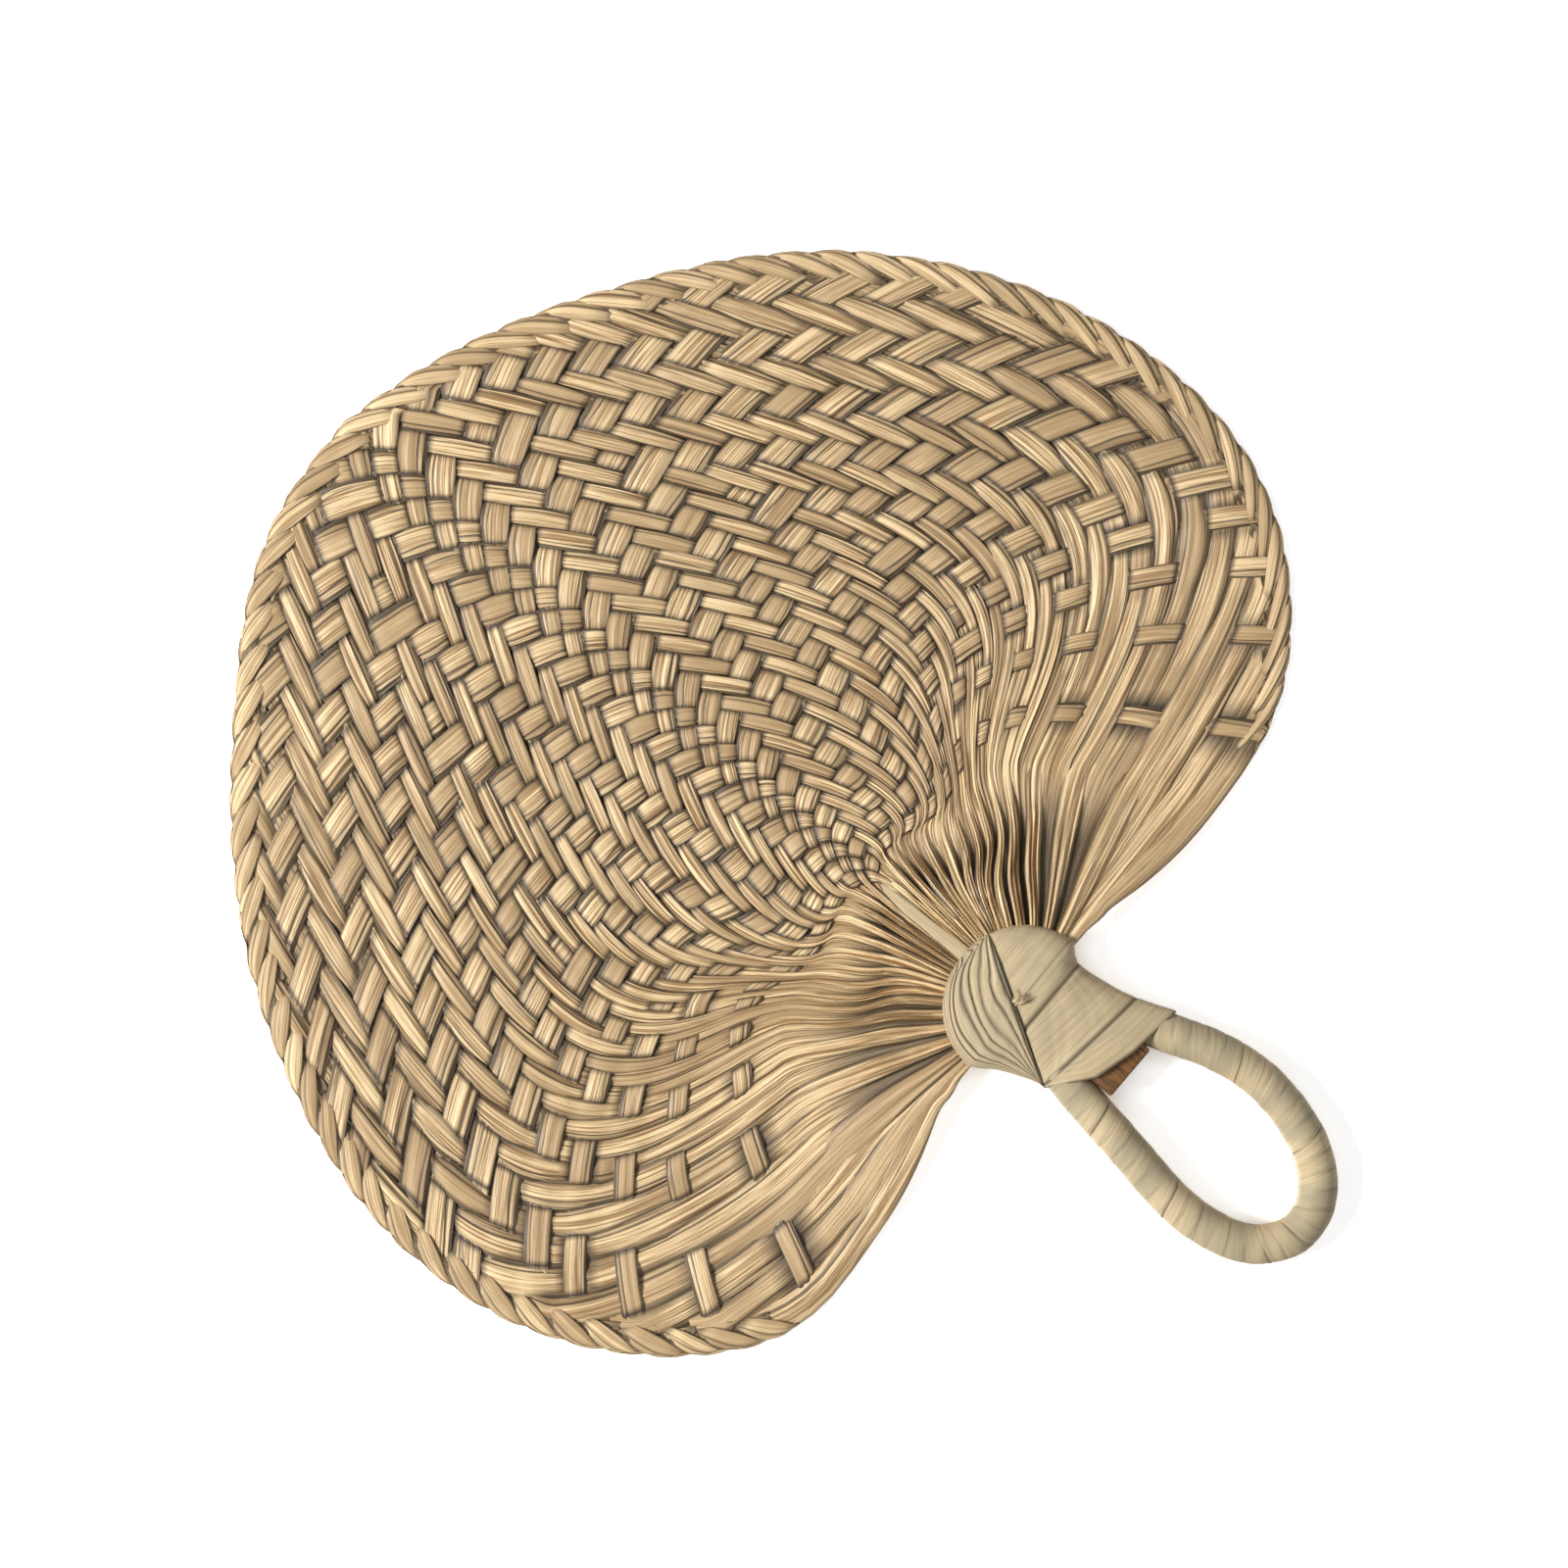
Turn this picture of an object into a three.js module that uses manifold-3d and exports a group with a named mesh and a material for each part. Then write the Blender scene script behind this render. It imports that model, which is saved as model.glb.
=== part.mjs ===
// Hand fan woven from folded palm leaf strips, with a wrapped loop handle.
// Millimetres, +Z up. The fan lies on its back, +Y runs from the handle to the tip of the blade.
import * as THREE from "three";
import Module from "manifold-3d";

const wasm = await Module();
wasm.setup();

// Gap between pieces that touch on the real fan
const CLEARANCE = 0.35;

// Weave: two mirrored families of doubled leaves, each leaf lying as two strands side by side
const LEAVES_PER_SIDE = 22;
const STRANDS_PER_LEAF = 2;
const WEAVE_START_Y = 55.2;
const ROW_PITCH = 5.384;
const ROW_GROWTH = 0.1104;
const COLUMN_PITCH = 4.846;
const COLUMN_OPENING = 4;
const COLUMN_LEAD = 1.5;
const DROP_SLOPE = 1.696;
const DROP_CURVE = 0.0835;
const DROP_ROUNDING = 2;
const DROP_BASE = 0.87;
const DROP_RISE = 0.033;
const LOBE_STRAND = 28;
const LOBE_WIDENING = 0.0356;
const TWILL_TURN_LEAF = 12;
const SHORT_LEAF_REACH = 28;
const SHORT_LEAF_STEP = 5;
// The left lobe hangs lower than the right one
const LOBE_DROOP = 8;
const LOBE_DROOP_SIDE = [35, 95];
const LOBE_DROOP_HEIGHT = [-5, 50];

// One leaf
const LEAF_THICKNESS = 0.6;
const LEAF_FILL = 0.76;
const CROSSING_GAP = 0.7;
const MOUTH_LAYERS = 3;
const MOUTH_LAYER_GAP = 0.7;
const MOUTH_FILL = 2.2;
const MOUTH_SPREAD_END = 0.35;
const GATHER_STEPS = 6;
const TIGHT_CROSSINGS = 2;
const STRAND_STEP = 0.1;
const END_MARGIN = 0.02;
const RUN_PROBE = 0.2;

// Blade outline: degrees from the tip and distance of the edge from the outline's own centre
const OUTLINE_SAMPLES = 200;
const OUTLINE_CENTRE_Y = 58.1;
const OUTLINE_RIGHT = [
  [0, 189.5], [25, 175.5], [50, 170], [75, 163], [95, 152], [115, 125.5], [130, 95.6], [145, 70.8],
];
const OUTLINE_LEFT = [
  [0, 189.5], [12, 188.5], [30, 177.5], [55, 170], [80, 163.7], [100, 151], [120, 128.7],
  [132, 99], [145, 70.3],
];

// Plaited rim of folded-over leaf ends
const RIM_WIDTH = 6;
const RIM_HEIGHT = 2.8;
const RIM_END_ANGLE = 114;
const RIM_END_CLEARANCE = 2;
const RIM_STEPS = 40;

// Height of the blade's middle surface: low at the rim, rising to the neck
const NECK_HEIGHT = 9;
const DISH_START = 20;
const DISH_REACH = 45;

// Neck: a round knob above a flattened throat, in a skin of leaf wraps
const NECK_CENTRE_Y = 3;
const NECK_HALF_WIDTH = 22.3;
const NECK_HALF_LENGTH = 21.2;
const NECK_TOP_CUT = 1.4;
const NECK_HALF_DEPTH = 8.8;
const NECK_TOP_HALF_DEPTH = 5.6;
const NECK_SIDES = 20;
const NECK_STEPS = 6;
const NECK_SQUARENESS = 2.4;
const WRAP_THICKNESS = 0.9;
const CORE_END_Y = -13;
const MOUTH_FIRST_ANGLE = 12.5;
const MOUTH_LAST_ANGLE = 88;
const MOUTH_GAP = 0.5;
// Throat stations: y, left edge, right edge, half depth
const THROAT = [
  [0, -20.6, 19.6, 8.7], [-3, -18.4, 18.6, 8.4], [-9, -15.6, 19.3, 7.8], [-16, -13.4, 20.6, 7.3],
  [-24, -15.2, 23.6, 6.9], [-32, -17, 28, 6.8],
];
// Seams between the wraps, as lines in plan
const BAND_EDGE = [[-14.4, -17.4], [12.3, 29]];
const CAP_SEAM_Y = -1.8;
const MIDDLE_SEAM = [[-16, -15.7], [30, -20.6]];
const LOWER_EDGE = [[-16, -16.6], [-12.6, -17.4], [-2.2, -25.4], [10, -28.6], [30, -31]];

// Loop handle: a bent core in a spiral of leaf
const CORE_RADIUS = 4.2;
const CORE_SIDES = 10;
const CORE_STEPS = 36;
const SPIRAL_CLEARANCE = 0.6;
const SPIRAL_THICKNESS = 0.6;
const SPIRAL_TURNS = 18;
const SPIRAL_STEPS = 10;
const SPIRAL_GAP = 0.9;
const SPIRAL_START_Y = -20;
const SPIRAL_END_Y = -32;
const LOOP_FAR_HEIGHT = 5.4;
const LOOP_SEARCH_STEP = 0.002;
const LOOP_ROUTE = [
  [-5.2, -6], [-7.9, -20], [-11, -40], [-13.9, -60], [-14.1, -73], [-11, -85], [-4.4, -92.6],
  [3.6, -95.4], [12.4, -92.8], [20.2, -84.6], [25, -72.5], [26.5, -59], [24.4, -45], [19.6, -32],
  [14.9, -20], [11.2, -6],
];

// Rib: the rolled leaf stem between the neck and the start of the weave
const RIB_TOP_Y = 49.5;
const RIB_FOOT_HALF_WIDTH = 3.2;
const RIB_TOP_HALF_WIDTH = 1.5;
const RIB_FLATNESS = 0.7;
const RIB_STEPS = 5;
const RIB_SIDES = 8;

// Wedge: the wooden key driven between the legs of the loop
const WEDGE_BOTTOM_Y = -31.8;
const WEDGE_TOP_Y = -20;
const WEDGE_DEPTH = 8;

const STRANDS = LEAVES_PER_SIDE * STRANDS_PER_LEAF;
const CROSSING_LIFT = (LEAF_THICKNESS + CROSSING_GAP) / 2;
const MOUTH_LAYER_STEP = LEAF_THICKNESS + MOUTH_LAYER_GAP;
const HALF_LEAF = (STRANDS_PER_LEAF * LEAF_FILL) / 2;
const SPIRAL_INNER = CORE_RADIUS + SPIRAL_CLEARANCE;
const SPIRAL_OUTER = SPIRAL_INNER + SPIRAL_THICKNESS;

const MATERIALS = {
  leaf: { color: 0xbd9c6c, roughness: 0.72 },
  rim: { color: 0xa98658, roughness: 0.75 },
  wrap: { color: 0xcbb88c, roughness: 0.62 },
  core: { color: 0xb08d58, roughness: 0.8 },
  wood: { color: 0x85571f, roughness: 0.65 },
};

const fan = new THREE.Group();
const pieces = new THREE.Group();
fan.add(pieces);

function addPiece(name, geometry, finish) {
  const material = new THREE.MeshStandardMaterial({ ...MATERIALS[finish], metalness: 0 });
  const mesh = new THREE.Mesh(geometry, material);
  mesh.name = name;
  pieces.add(mesh);
  return mesh;
}

const smooth = THREE.MathUtils.smoothstep;
const mix = THREE.MathUtils.lerp;
const radians = THREE.MathUtils.degToRad;

// Closed body through rings of equally many points, with its faces turned outward
function loft(rings) {
  const count = rings[0].length;
  const last = rings.length - 1;
  const at = (ring, k) => rings[ring][k % count];
  const triangles = [];
  for (let ring = 0; ring < last; ring += 1) {
    for (let k = 0; k < count; k += 1) {
      triangles.push([at(ring, k), at(ring, k + 1), at(ring + 1, k + 1)]);
      triangles.push([at(ring, k), at(ring + 1, k + 1), at(ring + 1, k)]);
    }
  }
  for (let k = 1; k + 1 < count; k += 1) {
    triangles.push([at(0, 0), at(0, k + 1), at(0, k)]);
    triangles.push([at(last, 0), at(last, k), at(last, k + 1)]);
  }
  const volume = triangles.reduce((sum, [a, b, c]) => sum + a.dot(b.clone().cross(c)), 0);
  const turned = volume < 0 ? triangles.map(([a, b, c]) => [a, c, b]) : triangles;
  return new THREE.BufferGeometry().setFromPoints(turned.flat());
}

// Boolean work goes through solids with shared corners
function toSolid(geometry) {
  const position = geometry.getAttribute("position");
  const keys = new Map();
  const corners = [];
  const triVerts = [];
  const point = new THREE.Vector3();
  const order = geometry.index ? [...geometry.index.array] : [...Array(position.count).keys()];
  for (const k of order) {
    point.fromBufferAttribute(position, k);
    const key = point.toArray().map((value) => value.toFixed(4)).join(" ");
    if (!keys.has(key)) {
      keys.set(key, keys.size);
      corners.push(...point.toArray());
    }
    triVerts.push(keys.get(key));
  }
  return new wasm.Manifold(
    new wasm.Mesh({
      numProp: 3,
      vertProperties: new Float32Array(corners),
      triVerts: new Uint32Array(triVerts),
    }),
  );
}

function toGeometry(solid) {
  const mesh = solid.getMesh();
  const geometry = new THREE.BufferGeometry();
  geometry.setAttribute("position", new THREE.BufferAttribute(mesh.vertProperties, mesh.numProp));
  geometry.setIndex(new THREE.BufferAttribute(mesh.triVerts, 1));
  return geometry.toNonIndexed();
}

// Upright prism over a plan outline, deep enough to cut the whole neck
function planPrism(outline) {
  const shape = new THREE.Shape(outline.map(([x, y]) => new THREE.Vector2(x, y)));
  const depth = 4 * NECK_HEIGHT;
  const geometry = new THREE.ExtrudeGeometry(shape, { depth, bevelEnabled: false });
  return toSolid(geometry.translate(0, 0, -NECK_HEIGHT));
}

// Height of the blade's middle surface over the table
function blade(x, y) {
  const away = Math.max(0, Math.hypot(x, y - NECK_CENTRE_Y) - DISH_START) / DISH_REACH;
  const low = RIM_HEIGHT / 2;
  return low + (NECK_HEIGHT - low) * Math.exp(-away * away);
}

// Distance from the outline's centre to the blade's edge, at an angle from the tip
function outlineCurve(points) {
  return new THREE.CatmullRomCurve3(points.map(([angle, radius]) => new THREE.Vector3(angle, radius)));
}

function sampledOutline(points) {
  const samples = outlineCurve(points).getPoints(OUTLINE_SAMPLES);
  return (angle) => {
    const k = samples.findIndex((sample) => sample.x >= angle);
    if (k < 0) return samples.at(-1).y;
    if (k === 0) return samples[0].y;
    const share = (angle - samples[k - 1].x) / (samples[k].x - samples[k - 1].x);
    return mix(samples[k - 1].y, samples[k].y, share);
  };
}

const edgeRight = sampledOutline(OUTLINE_RIGHT);
const edgeLeft = sampledOutline(OUTLINE_LEFT);

function edgeRadius(side, angle) {
  return side > 0 ? edgeRight(angle) : edgeLeft(angle);
}

// Whether a point lies on the part of the blade that the leaves fill
function insideRim(x, y) {
  const angle = THREE.MathUtils.radToDeg(Math.atan2(Math.abs(x), y - OUTLINE_CENTRE_Y));
  const inset = angle < RIM_END_ANGLE + RIM_END_CLEARANCE ? RIM_WIDTH + CLEARANCE : 0;
  return Math.hypot(x, y - OUTLINE_CENTRE_Y) < edgeRadius(x, angle) - inset;
}

// Plan point of a strand on its own side of the fan, with the droop of the left lobe
function settled(side, point) {
  const lobe = smooth(-side * point.x, ...LOBE_DROOP_SIDE) * (1 - smooth(point.y, ...LOBE_DROOP_HEIGHT));
  return new THREE.Vector2(side * point.x, point.y - LOBE_DROOP * lobe);
}

// Strands in the lobes lie further apart than those near the middle
function spread(strand) {
  return strand + LOBE_WIDENING * Math.max(0, strand - LOBE_STRAND) ** 2;
}

// Crossing of a strand from the right with a strand from the left
function crossing(right, left) {
  const i = spread(right);
  const j = spread(left);
  const apart = i - j;
  const row = (i + j) / 2;
  const depth = i + j > 0 ? (i * j) / (i + j) : 0;
  const column = COLUMN_PITCH * (1 - Math.exp(-(depth + COLUMN_LEAD) / COLUMN_OPENING));
  const bend = Math.sqrt(apart * apart + DROP_ROUNDING * DROP_ROUNDING) - DROP_ROUNDING;
  const drop = DROP_CURVE * apart * apart + DROP_SLOPE * bend;
  const up = WEAVE_START_Y + ROW_PITCH * row + ROW_GROWTH * row * row;
  return new THREE.Vector2(column * apart, up - (DROP_BASE + DROP_RISE * depth) * drop);
}

// Where a strand leaves the neck
function mouth(strand) {
  const angle = radians(mix(MOUTH_FIRST_ANGLE, MOUTH_LAST_ANGLE, strand / STRANDS));
  const way = new THREE.Vector2(Math.sin(angle), Math.cos(angle));
  const place = new THREE.Vector2(
    (NECK_HALF_WIDTH + MOUTH_GAP) * way.x,
    NECK_CENTRE_Y + (NECK_HALF_LENGTH + MOUTH_GAP) * way.y,
  );
  return { place, way };
}

// Loose stretch of a strand, from the neck to its first crossing
function gathered(strand, share) {
  const { place, way } = mouth(strand);
  const join = crossing(strand, 0);
  const run = crossing(strand, RUN_PROBE).sub(join).normalize();
  const reach = place.distanceTo(join) / 3;
  const curve = new THREE.CubicBezierCurve(
    place,
    place.clone().addScaledVector(way, reach),
    join.clone().addScaledVector(run, -reach),
    join,
  );
  return curve.getPoint(share);
}

// Two over, two under, mirrored about the middle and turned again in the lobes
function twill(step) {
  return Math.abs(Math.floor((step + 1) / 2)) % 2 === 0;
}

function rightOnTop(right, left) {
  const turned = 2 * TWILL_TURN_LEAF - right - left;
  if (right >= left) return twill(right < TWILL_TURN_LEAF ? right - left : turned);
  return !twill(left < TWILL_TURN_LEAF ? left - right - 1 : turned - 1);
}

// How far along the crossing strands a strand runs before it meets the rim
function strandEnd(side, strand, limit) {
  let along = STRAND_STEP;
  while (along < limit) {
    const point = settled(side, crossing(strand, along));
    if (!insideRim(point.x, point.y)) break;
    along += STRAND_STEP;
  }
  return along - STRAND_STEP;
}

// Stations of one leaf: plan position by strand and share, half width and height over the middle
function leafStations(side, leaf) {
  const middle = (leaf + 0.5) * STRANDS_PER_LEAF;
  const top = (other) => (side > 0 ? rightOnTop(leaf, other) : !rightOnTop(other, leaf));
  const lift = (other) => (top(other) ? CROSSING_LIFT : -CROSSING_LIFT);
  const limit = Math.min(STRANDS, SHORT_LEAF_REACH + SHORT_LEAF_STEP * middle);
  const ends = [-HALF_LEAF, HALF_LEAF].map((offset) => strandEnd(side, middle + offset, limit));
  const shortest = Math.min(...ends);
  const layer = ((leaf % MOUTH_LAYERS) - (MOUTH_LAYERS - 1) / 2) * MOUTH_LAYER_STEP;
  const stations = [];
  for (let step = 0; step < GATHER_STEPS; step += 1) {
    const share = step / GATHER_STEPS;
    stations.push({
      at: (strand) => gathered(strand, share),
      half: mix(MOUTH_FILL, HALF_LEAF, smooth(share, 0, MOUTH_SPREAD_END)),
      height: mix(layer, lift(0), smooth(share, MOUTH_SPREAD_END, 1)),
    });
  }
  const woven = (along, height) => {
    stations.push({ at: (strand) => crossing(strand, along), half: HALF_LEAF, height });
  };
  const entry = (other) => (other + 0.5) * STRANDS_PER_LEAF - HALF_LEAF;
  let other = 0;
  if (shortest > STRAND_STEP) woven(0, lift(0));
  if (shortest > entry(0) + STRAND_STEP) woven(entry(0), lift(0));
  while (entry(other + 1) < shortest) {
    const leave = entry(other) + 2 * HALF_LEAF;
    const tightBend = other < TIGHT_CROSSINGS || leaf < TIGHT_CROSSINGS;
    if (lift(other) === lift(other + 1) && !tightBend) {
      woven((leave + entry(other + 1)) / 2, lift(other));
    } else {
      woven(leave, lift(other));
      woven(entry(other + 1), lift(other + 1));
    }
    other += 1;
  }
  const cut = ends.map((end) => Math.min(end, entry(other + 1) - END_MARGIN));
  stations.push({
    at: (strand) => crossing(strand, strand < middle ? cut[0] : cut[1]),
    half: HALF_LEAF,
    height: lift(other),
  });
  return { middle, stations };
}

function leafGeometry(side, leaf) {
  const { middle, stations } = leafStations(side, leaf);
  const rings = stations.map(({ at, half, height }) => {
    const corners = [middle - half, middle + half].map((strand) => {
      const plan = settled(side, at(strand));
      return new THREE.Vector3(plan.x, plan.y, blade(plan.x, plan.y) + height);
    });
    const up = new THREE.Vector3(0, 0, LEAF_THICKNESS / 2);
    return [
      corners[0].clone().sub(up),
      corners[1].clone().sub(up),
      corners[1].clone().add(up),
      corners[0].clone().add(up),
    ];
  });
  return loft(rings);
}

function addLeaves() {
  for (let leaf = 0; leaf < LEAVES_PER_SIDE; leaf += 1) {
    const number = String(leaf + 1).padStart(2, "0");
    addPiece("leaf_right_" + number, leafGeometry(1, leaf), "leaf");
    addPiece("leaf_left_" + number, leafGeometry(-1, leaf), "leaf");
  }
}

// Half of the plaited rim, with a flat foot on the table
function rimGeometry(side) {
  const rings = [];
  const firstAngle = THREE.MathUtils.radToDeg(CLEARANCE / edgeRadius(side, 0));
  const out = RIM_WIDTH / 2;
  const flat = RIM_WIDTH / 4;
  const up = RIM_HEIGHT / 2;
  const profile = [[out, 0], [flat, up], [-flat, up], [-out, 0], [-flat, -up], [flat, -up]];
  for (let step = 0; step <= RIM_STEPS; step += 1) {
    const angle = mix(firstAngle, RIM_END_ANGLE, step / RIM_STEPS);
    const radius = edgeRadius(side, angle) - out;
    const way = new THREE.Vector2(Math.sin(radians(angle)), Math.cos(radians(angle)));
    rings.push(profile.map(([across, rise]) => new THREE.Vector3(
      side * way.x * (radius + across),
      OUTLINE_CENTRE_Y + way.y * (radius + across),
      up + rise,
    )));
  }
  return loft(rings);
}

// Plan edges and half depth of the neck's outer skin at a height along the fan
function neckStations() {
  const stations = [];
  const topReach = 1 - NECK_TOP_CUT / NECK_HALF_LENGTH;
  for (let step = 0; step <= NECK_STEPS; step += 1) {
    const reach = topReach * Math.sin((step / NECK_STEPS) * (Math.PI / 2));
    const half = NECK_HALF_WIDTH * Math.sqrt(1 - reach * reach);
    const y = NECK_CENTRE_Y + NECK_HALF_LENGTH * reach;
    const depth = mix(NECK_HALF_DEPTH, NECK_TOP_HALF_DEPTH, (step / NECK_STEPS) ** 2);
    stations.unshift([y, -half, half, depth]);
  }
  return [...stations, ...THROAT];
}

// Solid of the neck, grown outward by a thickness
function neckSolid(grow) {
  const stations = neckStations();
  const rings = stations.map(([y, left, right, depth]) => {
    const ring = [];
    const beyond = Math.max(0, y - NECK_CENTRE_Y) / NECK_HALF_LENGTH;
    const middle = (left + right) / 2;
    const half = (right - left) / 2 + grow;
    for (let side = 0; side < NECK_SIDES; side += 1) {
      const turn = (side / NECK_SIDES) * 2 * Math.PI;
      const bulge = (value) => Math.sign(value) * Math.abs(value) ** (2 / NECK_SQUARENESS);
      ring.push(new THREE.Vector3(
        middle + half * bulge(Math.cos(turn)),
        y + grow * beyond,
        NECK_HEIGHT + (depth + grow) * bulge(Math.sin(turn)),
      ));
    }
    return ring;
  });
  return toSolid(loft(rings));
}

// A straight seam moved sideways in plan, to leave a gap beside it
function shifted(points, x, y) {
  return points.map(([px, py]) => [px + x, py + y]);
}

function addNeck() {
  const outer = neckSolid(0);
  const inner = neckSolid(-WRAP_THICKNESS);
  const skin = outer.subtract(inner);
  const half = CLEARANCE / 2;
  const wide = 2 * NECK_HALF_WIDTH;
  const high = NECK_CENTRE_Y + 2 * NECK_HALF_LENGTH;
  const above = (y) => planPrism([[-wide, y], [wide, y], [wide, high], [-wide, high]]);
  const rightOfBand = planPrism([
    ...shifted(BAND_EDGE, half, 0), [wide, high], [wide, -wide], [-wide, -wide],
  ]);
  const leftOfBand = planPrism([
    ...shifted(BAND_EDGE, -half, 0), [-wide, high], [-wide, BAND_EDGE[0][1]],
  ]);
  const upper = planPrism([
    ...shifted(MIDDLE_SEAM, 0, half), [wide, CAP_SEAM_Y - half], [-wide, CAP_SEAM_Y - half],
  ]);
  const lower = planPrism([...LOWER_EDGE, ...shifted(MIDDLE_SEAM, 0, -half).reverse()]);
  const rest = skin.intersect(rightOfBand);
  addPiece("neck_band", toGeometry(skin.intersect(leftOfBand)), "wrap");
  addPiece("neck_cap", toGeometry(rest.intersect(above(CAP_SEAM_Y + half))), "wrap");
  addPiece("neck_wrap_upper", toGeometry(rest.intersect(upper)), "wrap");
  addPiece("neck_wrap_lower", toGeometry(rest.intersect(lower)), "wrap");
  const heart = neckSolid(-WRAP_THICKNESS - CLEARANCE).intersect(above(CORE_END_Y));
  const sockets = toSolid(loft(loopRings(CORE_RADIUS + CLEARANCE, 1 / CORE_STEPS)));
  addPiece("neck_core", toGeometry(heart.subtract(sockets)), "core");
}

// Centre line of the loop, sinking from the neck to the table
function loopPath() {
  const farY = Math.min(...LOOP_ROUTE.map(([, y]) => y));
  const nearY = LOOP_ROUTE[0][1];
  const points = LOOP_ROUTE.map(([x, y]) => {
    const share = (nearY - y) / (nearY - farY);
    return new THREE.Vector3(x, y, mix(NECK_HEIGHT, LOOP_FAR_HEIGHT, share * share));
  });
  return new THREE.CatmullRomCurve3(points);
}

const loop = loopPath();

// Point on a tube round the loop's centre line
function roundLoop(share, turn, radius) {
  const middle = loop.getPointAt(share);
  const along = loop.getTangentAt(share);
  const across = new THREE.Vector3(0, 0, 1).cross(along).normalize();
  const up = along.clone().cross(across);
  return middle
    .addScaledVector(across, radius * Math.cos(turn))
    .addScaledVector(up, radius * Math.sin(turn));
}

function loopRings(radius, longer) {
  const rings = [];
  for (let step = 0; step <= CORE_STEPS; step += 1) {
    const share = step / CORE_STEPS;
    const ring = [];
    for (let side = 0; side < CORE_SIDES; side += 1) {
      ring.push(roundLoop(share, (side / CORE_SIDES) * 2 * Math.PI, radius));
    }
    rings.push(ring);
  }
  const shift = loop.getLength() * longer;
  for (const [ring, share] of [[rings[0], 0], [rings.at(-1), 1]]) {
    const away = loop.getTangentAt(share).multiplyScalar(share ? shift : -shift);
    ring.forEach((point) => point.add(away));
  }
  return rings;
}

// Share of the loop's length at which it passes a height, from either end
function loopShare(y, fromEnd) {
  let share = 0;
  while (loop.getPointAt(fromEnd ? 1 - share : share).y > y) share += LOOP_SEARCH_STEP;
  return fromEnd ? 1 - share : share;
}

// Leaf wound round the loop in one unbroken spiral
function spiralGeometry() {
  const first = loopShare(SPIRAL_START_Y, false);
  const last = loopShare(SPIRAL_END_Y, true);
  const pitch = (last - first) / (SPIRAL_TURNS + 1);
  const half = (pitch - SPIRAL_GAP / loop.getLength()) / 2;
  const steps = SPIRAL_TURNS * SPIRAL_STEPS;
  const rings = [];
  for (let step = 0; step <= steps; step += 1) {
    const turn = (step / SPIRAL_STEPS) * 2 * Math.PI;
    const share = first + pitch / 2 + (step / SPIRAL_STEPS) * pitch;
    rings.push([
      roundLoop(share - half, turn, SPIRAL_INNER / Math.cos(Math.PI / SPIRAL_STEPS)),
      roundLoop(share + half, turn, SPIRAL_INNER / Math.cos(Math.PI / SPIRAL_STEPS)),
      roundLoop(share + half, turn, SPIRAL_OUTER),
      roundLoop(share - half, turn, SPIRAL_OUTER),
    ]);
  }
  let least = Infinity;
  for (let step = 0; step + SPIRAL_STEPS <= steps; step += 1) {
    const next = rings[step + SPIRAL_STEPS];
    least = Math.min(least, rings[step][1].distanceTo(next[0]), rings[step][2].distanceTo(next[3]));
  }
  console.log("least gap between turns of the handle's spiral, mm:", least.toFixed(2));
  return loft(rings);
}

function addLoop() {
  addPiece("loop_core", loft(loopRings(CORE_RADIUS, 0)), "core");
  addPiece("loop_spiral", spiralGeometry(), "wrap");
}

function addRib() {
  const footY = NECK_CENTRE_Y + NECK_HALF_LENGTH - NECK_TOP_CUT + MOUTH_GAP;
  const rings = [];
  for (let step = 0; step <= RIB_STEPS; step += 1) {
    const y = mix(footY, RIB_TOP_Y, step / RIB_STEPS);
    const half = mix(RIB_FOOT_HALF_WIDTH, RIB_TOP_HALF_WIDTH, step / RIB_STEPS);
    const ring = [];
    for (let side = 0; side < RIB_SIDES; side += 1) {
      const turn = ((side + 0.5) / RIB_SIDES) * 2 * Math.PI;
      ring.push(new THREE.Vector3(
        half * Math.cos(turn),
        y,
        blade(0, y) + half * RIB_FLATNESS * Math.sin(turn),
      ));
    }
    rings.push(ring);
  }
  addPiece("rib", loft(rings), "wrap");
}

// The wedge's sides lie along the two legs of the loop
function addWedge() {
  const away = SPIRAL_OUTER + 2 * CLEARANCE;
  const beside = (y, fromEnd) => {
    const share = loopShare(y, fromEnd);
    const lean = Math.abs(loop.getTangentAt(share).y);
    return loop.getPointAt(share).x + ((fromEnd ? -1 : 1) * away) / lean;
  };
  const outline = [
    [beside(WEDGE_BOTTOM_Y, false), WEDGE_BOTTOM_Y],
    [beside(WEDGE_BOTTOM_Y, true), WEDGE_BOTTOM_Y],
    [beside(WEDGE_TOP_Y, true), WEDGE_TOP_Y],
    [beside(WEDGE_TOP_Y, false), WEDGE_TOP_Y],
  ];
  const shape = new THREE.Shape(outline.map(([x, y]) => new THREE.Vector2(x, y)));
  const geometry = new THREE.ExtrudeGeometry(shape, { depth: WEDGE_DEPTH, bevelEnabled: false });
  addPiece("wedge", geometry.translate(0, 0, NECK_HEIGHT - WEDGE_DEPTH / 2), "wood");
}

addLeaves();
addPiece("rim_plait_right", rimGeometry(1), "rim");
addPiece("rim_plait_left", rimGeometry(-1), "rim");
addRib();
addNeck();
addLoop();
addWedge();

// The origin lies under the middle of the whole fan
const middle = new THREE.Box3().setFromObject(pieces).getCenter(new THREE.Vector3());
pieces.position.set(-middle.x, -middle.y, 0);

export default fan;
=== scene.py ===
"""Weaves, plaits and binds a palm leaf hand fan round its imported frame."""

import math

import bpy
import numpy as np
from bpy.props import FloatProperty, FloatVectorProperty, IntProperty, PointerProperty
from mathutils import Matrix, Vector


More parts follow.
